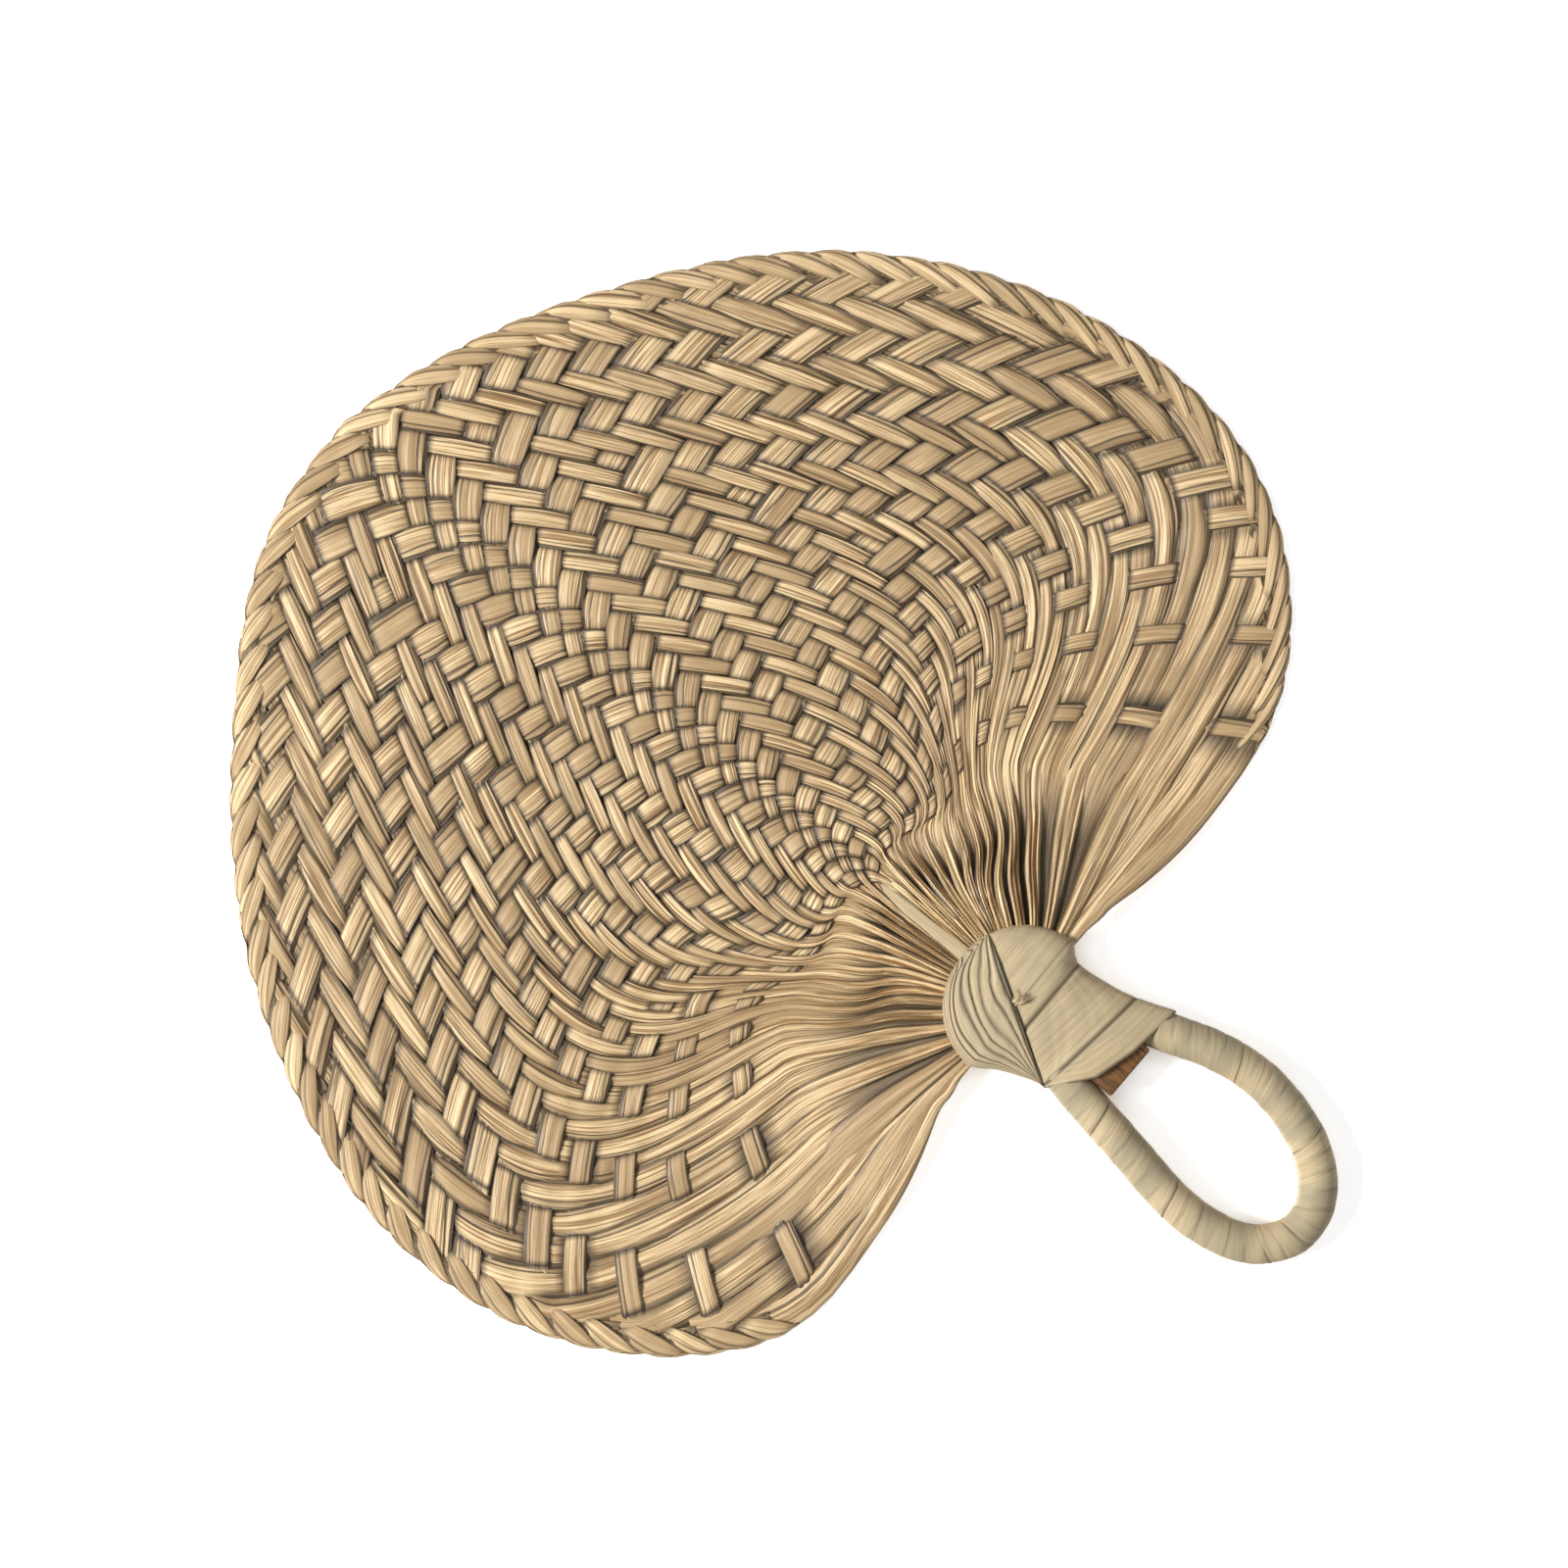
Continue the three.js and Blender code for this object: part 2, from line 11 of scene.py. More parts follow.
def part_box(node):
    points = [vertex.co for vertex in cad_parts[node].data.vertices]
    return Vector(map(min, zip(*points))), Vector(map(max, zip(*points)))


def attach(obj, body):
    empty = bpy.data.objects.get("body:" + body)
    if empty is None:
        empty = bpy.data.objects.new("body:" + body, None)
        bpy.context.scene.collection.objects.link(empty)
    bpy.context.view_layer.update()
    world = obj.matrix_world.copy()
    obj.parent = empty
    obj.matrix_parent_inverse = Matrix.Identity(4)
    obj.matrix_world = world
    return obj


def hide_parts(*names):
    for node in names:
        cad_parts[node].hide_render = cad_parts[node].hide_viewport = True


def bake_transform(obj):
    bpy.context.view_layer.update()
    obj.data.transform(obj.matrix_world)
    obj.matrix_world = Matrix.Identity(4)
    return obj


bl_info = {
    "name": "Palm Leaf Fan",
    "version": (1, 0, 0),
    "blender": (4, 5, 0),
    "location": "View3D > Sidebar > Palm Fan",
    "description": "Weaves, plaits and binds a palm leaf hand fan round its packed frame",
    "category": "Object",
}

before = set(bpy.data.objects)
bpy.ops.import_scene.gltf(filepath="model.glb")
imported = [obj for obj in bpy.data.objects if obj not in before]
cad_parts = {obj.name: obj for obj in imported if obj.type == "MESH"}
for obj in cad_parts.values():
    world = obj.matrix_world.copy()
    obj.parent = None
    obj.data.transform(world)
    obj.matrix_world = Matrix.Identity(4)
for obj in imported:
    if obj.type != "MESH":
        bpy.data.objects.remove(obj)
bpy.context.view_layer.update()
MM = 0.001
# Nothing lies lower than this over the table, in millimetres
LOWEST = 0.05
# Named values on the points of every sheet, read by its material; the last of them is painted shade in folds,
# gaps and hidden parts
MARKS = ("along", "across", "strip", "tone", "painted_shade")
# Faces that meet at less than this, in degrees, are shaded as one
LEAF_SMOOTHING = 60
WOOD_SMOOTHING = 40
# Sine waves in an irregular wave, and about how high they reach together
WOBBLE_WAVES = 3
WOBBLE_PEAK = 1.8

# Neck frame: millimetres from the middle of the neck, placed by the rib's own box
RIB_BOX = [np.array(corner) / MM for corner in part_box("rib")]
RIB_FOOT_Y = 23.3
NECK_AT = np.array([(RIB_BOX[0][0] + RIB_BOX[1][0]) / 2, RIB_BOX[0][1] - RIB_FOOT_Y, 0])

# Weave: two mirrored families of strands, two to each doubled leaf
LEAVES_PER_SIDE = 22
STRANDS_PER_LEAF = 2
STRANDS = LEAVES_PER_SIDE * STRANDS_PER_LEAF
# Rows of crossings go up the middle, and columns to the sides, where they drop towards the lobes
WEAVE_START_Y = 55.2
ROW_PITCH = 5.384
ROW_GROWTH = 0.1104
COLUMN_PITCH = 4.846
COLUMN_OPENING = 4
COLUMN_LEAD = 1.5
DROP_SLOPE = 1.696
DROP_CURVE = 0.0835
DROP_ROUNDING = 2
DROP_BASE = 0.87
DROP_RISE = 0.033
# Strands spread in the lobes, the twill turns there, and the left lobe hangs lower
LOBE_STRAND = 28
LOBE_WIDENING = 0.0356
TWILL_TURN = 24
LOBE_DROOP = 8
LOBE_DROOP_SIDE = (35, 95)
LOBE_DROOP_HEIGHT = (-5, 50)
# The weave's lower edge is drawn down towards the neck on both sides of the rib
SAG = 13
SAG_SIDE = 26
SAG_REACH = 17
SAG_BELOW = (24, 58)
SAG_ABOVE = (62, 115)
# Widest strip among the first strands, which cross the lobes, and among all others
STRIP_WIDTHS = (6, 9.5)
STRIP_WIDENING = (2, 8)
# Steps along a strand, counted in the strands that it crosses
WEAVE_STEP = 0.2
END_STEP = 0.1
# Floats, from one turn of a strand to the next: they arch, tilt, fill their lane and narrow at their ends
TURN_LENGTH = 0.32
FLOAT_ARCH = 0.9
FLOAT_TILT = 0.35
FLOAT_FILL = 1.03
FLOAT_PINCH = (0.1, 0.26)
FLOAT_END_LIFT = 0.5
FLOAT_TONES = 0.42
OPEN_LANE_FILL = 0.3
SWAY_WAVES = 0.5
SWAY = 0.03
# Painted shade beside a crossing strip, where a strand dives under it, in millimetres from its edge
DIVE_SHADE = (0.1, 1.5)
# Strands in the lobes are rounder, with dark valleys of painted shade where neighbours meet
LOBE_NUMBERS = (22, 38)
LOBE_FILL = 1.14
LOBE_CROWN = 0.55
LOBE_TILT = 1.6
VALLEY_START = 0.78
VALLEY_END_START = 0.25
VALLEY_SHADE = 0.85
VALLEY_RUN_IN = 1.5
PINCH_CROWN = 0.7
# Folded strip: a flat face, then two folds that each step down, with faint facets all over
FACE_COLUMNS = 8
FIRST_FOLD = (0.2, 0.5)
SECOND_FOLD = (0.7, 0.8)
FOLD_HALF_WIDTH = 0.03
FOLD_STEP = (0.12, 0.3)
EDGE_DROP = 0.1
FACETS = 1.2
FACET_HEIGHT = (0.06, 0.16)
# Painted shade on each column of the strip, from edge to edge, darkest at the folds and the edges
STRIP_SHADE = (0.9, 0.12, 0, 0, 0, 0, 0, 0.05, 0.95, 0.2, 0.1, 0.95, 0.85)
STRIP_EDGE = 0.97

# Loose stretch of the strands between the neck and the weave
GATHER_STATIONS = 30
MOUTH_INSET = 3
# Strand number and the angle from the fan's axis at which it leaves the neck
MOUTH_ANGLES = ((0, 5), (28, 36), (44, 90))
MOUTH_DIRECTNESS = 0.9
MOUTH_HANDLE = 0.3
WEAVE_HANDLE = 0.17
# One strand in three is broad and lies over its neighbours: widths in lanes and millimetres, and heights
BROAD_EVERY = 3
BROAD_LANES = 2.3
HIDDEN_LANES = 1.7
BROAD_LEAST = 3
BROAD_MOST = 12
HIDDEN_LEAST = 1.6
BROAD_RISE = 1.3
HIDDEN_DROP = 1.3
# Painted shade on the hidden strands, and at the edges of all loose ones
GATHER_SHADE = 0.8
EDGE_START = 0.7
EDGE_SHADE = 0.95
# The outermost strands stay narrow, so that the blade's side runs straight
OUTER_STRAND = 41
# Degrees that loose strands roll, from the middle to the outermost, and how they crumple and differ
GATHER_ROLL = (34, 14)
HIDDEN_ROLL = 0.35
ROLL_CHANCE = 6
GATHER_CRUMPLE = 0.5
CRUMPLE_FOLDS = (0.5, 0.9)
CRUMPLE_DRIFT = 0.2
LOOSE_WIDTHS = (0.88, 1.12)
LOOSE_CROWN = 0.35
LOOSE_SECTION = 0.5
# Share of the painted shade at the folds that a loose strip keeps away from its edges
LOOSE_FOLD_SHADE = 0.3
LOOSE_TONE = 1.6
# Shares of the loose stretch over which strands narrow, settle flat and take their places in the weave
NARROWING = (0.3, 1)
SETTLING = (0.4, 1)
JOINING = (0.8, 1)
# Length of the loose stretch in lanes, and the shares before the weave where folds begin and the painted
# shade of the hollows ends
GATHER_HEAD = 8
FOLDS_FROM = -0.35
HOLLOWS_UNTIL = (-0.55, -0.1)

# Blade outline: degrees from the tip and distance of the edge from the outline's own centre
OUTLINE_CENTRE_Y = 58.1
OUTLINE_RIGHT = [
    (0, 189.5), (25, 175.5), (50, 170), (75, 163), (95, 152), (115, 125.5), (130, 95.6), (145, 70.8),
    (151, 64.7), (157, 60.5), (175, 53.7),
]
OUTLINE_LEFT = [
    (0, 189.5), (12, 188.5), (30, 177.5), (55, 170), (80, 163.7), (100, 151), (120, 128.7), (132, 99),
    (145, 71.2), (151, 64.9), (157, 60.4), (175, 53.7),
]
CURVE_SAMPLES = 24

# Plaited rim
RIM_WIDTH = 6
RIM_MIDDLE = 1.4
RIM_END_ANGLE = 116
RIM_TUCK = 2.4
RIM_DIP = 0.5
RIM_MARGIN = 1.2
RIM_END_BLEND = 4
RIM_RUN_ON = 8
RIM_SAMPLES = 400
# Gathered leaf ends inside the folds
HEART_HALF_WIDTH = 2.2
HEART_HALF_HEIGHT = 0.8
HEART_GRID = (160, 13)
HEART_TAPER = 2
# Painted shade on the gathered ends, deep in the folds
HEART_SHADE = 0.8
# One fold: columns across it with the painted shade on each, painted shade at its tucked ends, and how much
# folds differ
RIM_FOLD_STATIONS = 17
RIM_FOLD_COLUMNS = (-1, -0.9, -0.55, -0.2, 0.15, 0.3, 0.36, 0.7, 0.92, 1)
RIM_FOLD_SHADE = (0.8, 0.15, 0, 0, 0, 0.05, 0.8, 0.1, 0.15, 0.8)
RIM_FOLD_ENDS_SHADE = 0.8
RIM_FOLD_SHADE_FADES = (0.1, 0.7)
RIM_FOLD_LENGTHS = (0.92, 1.1)
RIM_FOLD_WIDTHS = (0.88, 1.12)
RIM_FOLD_SHIFT = 0.6
RIM_FOLD_TONES = 0.3
# Plan of a fold: it starts inside the weave, lies aslant and bulges past the edge in a scallop
RIM_FOLD_INSIDE = 2
RIM_FOLD_SHORT = 0.4
RIM_FOLD_TRAVELS = (-0.15, 0.95)
RIM_FOLD_END_WIDTH = 0.3
RIM_FOLD_SLANT = (0.4, 0.9)
RIM_FOLD_FULLNESS = 0.8
RIM_FOLD_NARROWS = 0.7
RIM_FOLD_NARROWS_OVER = (0.55, 1)
SCALLOP_FOOT = 0.5
SCALLOP = 1.2
SCALLOP_AT = 0.74
SCALLOP_REACH = 0.14
# Heights of a fold's tucked ends and of its crest over the rim's middle, on the face and on the underside
FACE_FOLD = (-0.55, 1.4)
UNDER_FOLD = (0.2, 1.15)
RIM_FOLD_RISES = (0, 0.34)
RIM_FOLD_SINKS = (0.72, 1.05)
RIM_FOLD_CROWN = 0.35
RIM_FOLD_LINE = 0.33
RIM_FOLD_STEP = (0.15, 0.3)
# The outer part of a fold turns down, from one distance past the rim's middle to another past its edge
RIM_TURN_DOWN = 0.6
RIM_TURN_FROM = 1
RIM_TURN_PAST = 0.2

# Height of the blade's middle surface
NECK_HEIGHT = 9
DISH_START = 20
DISH_REACH = 45

# Bound neck
NECK_CENTRE_Y = 3
NECK_HALF_WIDTH = 22.3
NECK_HALF_LENGTH = 21.2
NECK_HALF_DEPTH = 8.8
NECK_TOP_HALF_DEPTH = 5.6
NECK_CLOSING = 10
NECK_SQUARENESS = 2.4
# Throat stations: y, left edge, right edge, half depth
THROAT = [
    (NECK_CENTRE_Y, -NECK_HALF_WIDTH, NECK_HALF_WIDTH, NECK_HALF_DEPTH), (0, -20.6, 19.6, 8.7),
    (-3, -18.4, 18.6, 8.4), (-9, -15.6, 19.3, 7.8), (-16, -13.4, 20.6, 7.3), (-24, -15.2, 23.3, 7.1),
    (-32, -17, 26.8, 7.1),
]
BAND_EDGE = ((-14.4, -17.4), (12.3, 29))
CAP_SEAM_Y = -1.8
MIDDLE_SEAM = ((-16, -15.7), (30, -20.6))
LOWER_EDGE = ((-16, -16.6), (-12.6, -17.4), (-2.2, -25.4), (10, -28.6), (30, -31))
CAP_TOP_Y = 22.4
BAND_TOP_Y = 23.9
WRAP_THICKNESS = 0.4
# How far the sheets lie over the neck's skin, and how far they thin out at their edges
CAP_OUT = -0.75
UPPER_WRAP_OUT = -0.5
LOWER_WRAP_OUT = -0.25
BAND_OUT = 0.15
CAP_EDGE_THINS = 0.35
WRAP_EDGE_THINS = 0.45
BAND_EDGE_THINS = 0.3
# Share of its height over the skin that a sheet keeps at the neck's sides
NECK_SIDE_SHARE = 0.4
# Millimetres that the cap and the band start above their lower ends
CAP_GAP = 0.1
BAND_GAP = 0.4
# Points of each sheet along the fan and round it
CAP_GRID = (60, 90)
WRAP_GRID = (40, 120)
BAND_GRID = (90, 420)
# Millimetres that a sheet's fibres go round the neck
CAP_ROUND = 40
WRAP_ROUND = 45
BAND_ROUND = 60
# Shares of a sheet that thin out at its sides, and millimetres that do so at its seams
CAP_SIDE_LIP = 1 / 30
WRAP_SIDE_LIP = 1 / 40
BAND_SIDE_LIP = 1 / 60
CAP_SEAM_LIP = 1.2
WRAP_SEAM_LIP = 1
# Painted shade at the edges and seams, along the fold that crosses the cap, and from a pleat's valley up to
# its ridge
CAP_EDGE_SHADE = 0.7
WRAP_EDGE_SHADE = 0.8
CAP_CREASE_Y = 4
CAP_CREASE_WAVE = 0.6
CAP_CREASE_HALF = 0.5
CAP_CREASE_SHADE = 0.5
PLEAT_SHADE = (0.1, 0.85)
# Pleats differ in height, also the spare ones past both sides of the band
PLEAT_STRENGTHS = (0.4, 1)
PLEAT_SPARES = 2
# They waver, by a share of a pleat and with waves along and round the band, and are flatter at the throat
PLEAT_WAVER = 0.12
PLEAT_WAVES = (0.3, 25)
PLEAT_AT_THROAT = 0.75
PLEAT_GROWS = (-12, 18)
# Rounds in which a wrap's points settle between its seams, from a first guess
SETTLE_ROUNDS = 12
SETTLE_PACE = 0.7
SETTLE_FROM_Y = -12.0
# Torn pale patch: where it fades in and out across the front and up the wrap, its rise and its tone
TORN_LEFT = (-6, -4)
TORN_RIGHT = (7, 8)
TORN_LOW = (0.12, 0.2)
TORN_HIGH = (0.75, 0.85)
TORN_RISE = 0.15
TORN_TONE = -0.5
# Frayed tuft at the band's edge
TUFT_AT = (-1.2, 4.8)
TUFT_SPREAD = (0.6, 1)
TUFT_FIBRES = 12
TUFT_LENGTH = (1.5, 3.5)
TUFT_TURN = (-0.9, 0.6)
TUFT_BEND = 0.8
TUFT_HALF_WIDTH = 0.22
TUFT_TAPER = 0.7
TUFT_LIFT = 0.2
TUFT_ARCH = 0.9
TUFT_ARCHES = (0.4, 1)
TUFT_GRID = (8, 3)

# Loop handle
LOOP_ROUTE = [
    (-5.2, -6), (-7.9, -20), (-11, -40), (-13.9, -60), (-14.1, -73), (-11, -85), (-4.4, -92.6),
    (3.6, -95.4), (12.4, -92.8), (20.2, -84.6), (25, -72.5), (26.5, -59), (24.4, -45), (19.6, -32),
    (14.9, -20), (11.2, -6),
]
LOOP_FAR_HEIGHT = 5.75
LOOP_TURNS = 18
LOOP_TURN_STEPS = 32
LOOP_COLUMNS = 25
LOOP_FIRST_Y = -12
LOOP_LAST_Y = -19
LOOP_LEAF = 0.3
# Half width of the wound leaf in turns, and where and how far its edges dip
LOOP_HALF_WIDTH = 0.56
LOOP_EDGE_START = 0.86
LOOP_EDGE_DIP = 0.12
# Seams between the turns: where painted shade darkens the leaf, and the noise values between which it shows
LOOP_SEAM_START = 0.8
LOOP_SEAM_SHOWS = (-0.3, 0.8)
LOOP_TONE = 0.25
# Small puckers: noise values between which they form, and the turn that they lie round, in radians
PUCKER_DEPTH = 0.14
PUCKER_FORMS = (0.35, 0.9)
PUCKER_TURN = 2.6
PUCKER_SPREAD = (0, 0.8)
# Painted shade in the puckers
PUCKER_SHADE = 0.35

# Rib and wedge
RIB_TOP_Y = 59
RIB_DIVE = 2.6
RIB_FOOT_HALF = 3.5
RIB_TOP_HALF = 2.5
RIB_ROOT = 4
RIB_LEAN = 1.2
RIB_FLATNESS = 0.6
RIB_LEAF = 0.25
RIB_GRID = (30, 40)
# Half turns at which the rolled leaf starts and ends, and how much it closes in with each
RIB_ROLL = (0.3, 2.6)
RIB_CLOSING = 0.07
# Shares of the rib over which it dives under the weave and takes on painted shade
RIB_DIVES = (0.55, 0.95)
RIB_DARKENS = (0.8, 1)
RIB_SHADE = 0.5
WEDGE_BEVEL = 0.7
WEDGE_BEVEL_STEPS = 3
CORE_COLOUR = (150, 118, 72)

# Photograph: straight down, the fan leaning to the left
PHOTO_WIDTH = 430.8
PHOTO_CENTRE = (3.53, 91.4)
PHOTO_RIGHT = (0.648, -0.761, 0)
PHOTO_UP = (0.761, 0.648, 0)
LENS = 150
SENSOR = 36

# Marks that lay out the fibres of a leaf
FIBRE_INPUTS = ("Along", "Across", "Strip")
# Layers of a leaf: noise cells a millimetre across and along the strip, detail and roughness
FIBRE_LAYERS = {"Fibre": (1.9, 0.03, 4, 0.7), "Vein": (1.05, 0.02, 2, 0.5), "Blotch": (0.12, 0.06, 3, 0.55)}
# Noise cells from strip to strip, so that no two look the same
STRIP_SEED = 173
# Noise values between which fibres and veins turn dark, and how dark
FIBRE_DARKENS = (0.58, 0.36)
FIBRE_DEPTH = 0.75
VEIN_DARKENS = (0.5, 0.34)
VEIN_DEPTH = 0.55
# Age of a leaf: what the strip and the blotches add to its tone, and the ages between which it stains
STRIP_AGE = 0.5
BLOTCH_AGE = 0.8
AGE_STAINS = (0.4, 1.1)
STAIN_DEPTH = 0.8
# Painted shade in the folds and gaps: its tone against the dark fibres, its strength and its share on the
# underside
SHADE_TONE = 0.06
SHADE_DEPTH = 0.97
UNDERSIDE_TURN = 0.2
UNDERSIDE_SHADE = 0.4
# Noise values between which the gloss changes, and by how much
FIBRE_GLOSSES = (0.3, 0.7)
GLOSS_CHANGE = 0.1
LEAF_SPECULAR = 0.4
# Relief: share of the veins, strength, and depth in millimetres
VEIN_RELIEF = 1.6
LEAF_RELIEF = 0.7
LEAF_RELIEF_DEPTH = 0.25
# Wood: noise cells a metre, tones and gloss of its grain, and its relief's strength and depth in millimetres
GRAIN_CELLS = (1600, 130, 1600)
GRAIN_TONES = (0.4, 1.25)
GRAIN_PALES = (0.35, 0.65)
GRAIN_GLOSSES = (0.3, 0.7)
GRAIN_ROUGHNESS = (0.75, 0.5)
GRAIN_RELIEF = 0.4
GRAIN_RELIEF_DEPTH = 0.2

# Floor and lamps, in metres: place from the middle of the photograph, and width
FLOOR_SIZE = 8
KEY_LAMP = ((-1.3, 1.3, 1.7), 0.7)
FILL_LAMP = ((1.4, -1.0, 1.8), 2)
UNDER_LAMP = ((-0.8, 0.6, -1.6), 1)
# How near over the floor the fan darkens it with a painted shadow, and how far below it a bent blade is still
# seen, in metres
FLOOR_SHADOW_REACH = 0.015
FLOOR_CLEARS = 0.08
# Free room over the floor between which its painted shadow fades out, and how little taken room below turns
# it clear
FLOOR_SHADOW_FADES = (0.2, 0.65)
FLOOR_EDGE = 0.06
FLOOR_SAMPLES = 8
FLOOR_GREY = 0.86
FLOOR_ROUGHNESS = 0.9


def to_frame(points):
    """Neck millimetres to frame metres."""
    return (np.asarray(points, float) + NECK_AT) * MM


def srgb(red, green, blue):
    """Linear colour of three 0 to 255 display values."""
    values = np.array([red, green, blue]) / 255
    linear = np.where(values <= 0.04045, values / 12.92, ((values + 0.055) / 1.055) ** 2.4)
    return tuple(float(value) for value in linear)


def smooth(value, low, high):
    """Rises gently from 0 at low to 1 at high."""
    share = np.clip((np.asarray(value, float) - low) / (high - low), 0, 1)
    return share * share * (3 - 2 * share)


def mix(first, last, share):
    return first + (last - first) * share


def unit(vectors):
    return vectors / np.linalg.norm(vectors, axis=-1, keepdims=True)


def run_lengths(points):
    """Distance of each point of a line from its start, along the line."""
    return np.append(0, np.cumsum(np.linalg.norm(np.diff(points, axis=0), axis=1)))


def raised(plan, height):
    """Points over a plan, at the given heights."""
    return np.concatenate([plan, np.broadcast_to(height, plan.shape[:-1])[..., None]], -1)


def smooth_curve(points):
    """Points along a rounded curve through the given ones."""
    points = np.array(points, float)
    ends = np.vstack([2 * points[0] - points[1], points, 2 * points[-1] - points[-2]])
    shares = np.linspace(0, 1, CURVE_SAMPLES, endpoint=False)[:, None]
    stretches = []
    for a, b, c, d in zip(ends, ends[1:], ends[2:], ends[3:]):
        bend = (2 * a - 5 * b + 4 * c - d) * shares**2 + (3 * b - a - 3 * c + d) * shares**3
        stretches.append((2 * b + (c - a) * shares + bend) / 2)
    return np.vstack([*stretches, points[-1:]])


RIGHT_EDGE = smooth_curve(OUTLINE_RIGHT)
LEFT_EDGE = smooth_curve(OUTLINE_LEFT)
THROAT_CURVE = smooth_curve(THROAT)[::-1]


def edge_radius(side, angle):
    """Distance of the blade's edge from the outline's centre."""
    curve = RIGHT_EDGE if side > 0 else LEFT_EDGE
    return np.interp(angle, curve[:, 0], curve[:, 1])


def edge_all_round(side, angle):
    """Distance of the blade's edge, with negative angles for the other side."""
    return np.where(angle < 0, edge_radius(-side, -angle), edge_radius(side, angle))


def blade_height(x, y):
    """Height of the blade's middle surface over the table."""
    away = np.maximum(0, np.hypot(x, y - NECK_CENTRE_Y) - DISH_START) / DISH_REACH
    return RIM_MIDDLE + (NECK_HEIGHT - RIM_MIDDLE) * np.exp(-away * away)


class LeafSettings(bpy.types.PropertyGroup):
    """Sizes and colours of the woven strips."""

    fill: FloatProperty(
        name="Strip width",
        description="Share of its lane that a strip fills",
        default=1, min=0.5, max=1.1, subtype="FACTOR",
    )
    thickness: FloatProperty(
        name="Thickness", description="Thickness of a folded strip", default=0.3 * MM, unit="LENGTH",
    )
    lift: FloatProperty(
        name="Lift", description="Height of a crossing over the blade's middle", default=0.8 * MM,
        unit="LENGTH",
    )
    crown: FloatProperty(
        name="Crown", description="Drop from a strip's middle to its edges", default=0.2 * MM, unit="LENGTH",
    )
    pale: FloatVectorProperty(
        name="Pale", description="Colour of the bright fibres", default=srgb(232, 204, 158), size=3,
        subtype="COLOR",
    )
    dark: FloatVectorProperty(
        name="Dark", description="Colour between the fibres", default=srgb(136, 103, 64), size=3,
        subtype="COLOR",
    )
    stain: FloatVectorProperty(
        name="Stain", description="Colour of weathered strips", default=srgb(166, 138, 100), size=3,
        subtype="COLOR",
    )


class RimSettings(bpy.types.PropertyGroup):
    """Sizes of the plaited rim."""

    fold_pitch: FloatProperty(
        name="Fold pitch", description="Distance from fold to fold", default=11 * MM, unit="LENGTH",
    )
    fold_length: FloatProperty(
        name="Fold length", description="Length of one folded end", default=22 * MM, unit="LENGTH",
    )
    fold_half_width: FloatProperty(
        name="Fold half width", description="Half width of a folded end", default=2.5 * MM, unit="LENGTH",
    )


class NeckSettings(bpy.types.PropertyGroup):
    """Sizes and colours of the neck's wraps."""

    pleats: IntProperty(
        name="Pleats", description="Folds round the diagonal band", default=19, min=2, max=40,
    )
    pleat_depth: FloatProperty(
        name="Pleat depth", description="Height of a fold of the band", default=1.1 * MM, unit="LENGTH",
    )
    pale: FloatVectorProperty(
        name="Pale", description="Colour of the young leaf", default=srgb(194, 175, 140), size=3,
        subtype="COLOR",
    )
    dark: FloatVectorProperty(
        name="Dark", description="Colour of its fibres", default=srgb(158, 137, 103), size=3, subtype="COLOR",
    )
    stain: FloatVectorProperty(
        name="Stain", description="Colour of its green-grey patches", default=srgb(150, 140, 114), size=3,
        subtype="COLOR",
    )


class HandleSettings(bpy.types.PropertyGroup):
    """Sizes and colours of the loop, the rib and the wedge."""

    radius: FloatProperty(
        name="Loop radius", description="Outer radius of the wrapped loop", default=5.4 * MM, unit="LENGTH",
    )
    wrap_step: FloatProperty(
        name="Wrap step", description="Step where a turn lies over the next one", default=0.14 * MM,
        unit="LENGTH",
    )
    wedge: FloatVectorProperty(
        name="Wedge", description="Colour of the wedge", default=srgb(106, 68, 22), size=3, subtype="COLOR",
    )


class StageSettings(bpy.types.PropertyGroup):
    """Light and floor."""

    key_power: FloatProperty(name="Key lamp", description="Power of the key lamp", default=97, unit="POWER")
    fill_power: FloatProperty(name="Fill lamp", description="Power of the fill lamp", default=8, unit="POWER")
    under_power: FloatProperty(
        name="Under lamp", description="Power of the lamp below the floor", default=45, unit="POWER",
    )
    sky: FloatProperty(name="Sky", description="Strength of the light from all round", default=0.2, min=0)
    floor_glow: FloatProperty(
        name="Floor glow", description="How much the floor brightens to the camera", default=0.7, min=0,
    )


class FanSettings(bpy.types.PropertyGroup):
    """All settings of the fan."""

    leaf: PointerProperty(type=LeafSettings)
    rim: PointerProperty(type=RimSettings)
    neck: PointerProperty(type=NeckSettings)
    handle: PointerProperty(type=HandleSettings)
    stage: PointerProperty(type=StageSettings)


def settings():
    return bpy.context.scene.palm_fan


def select_only(*pieces):
    bpy.ops.object.select_all(action="DESELECT")
    for piece in pieces:
        piece.select_set(True)
    bpy.context.view_layer.objects.active = pieces[0]


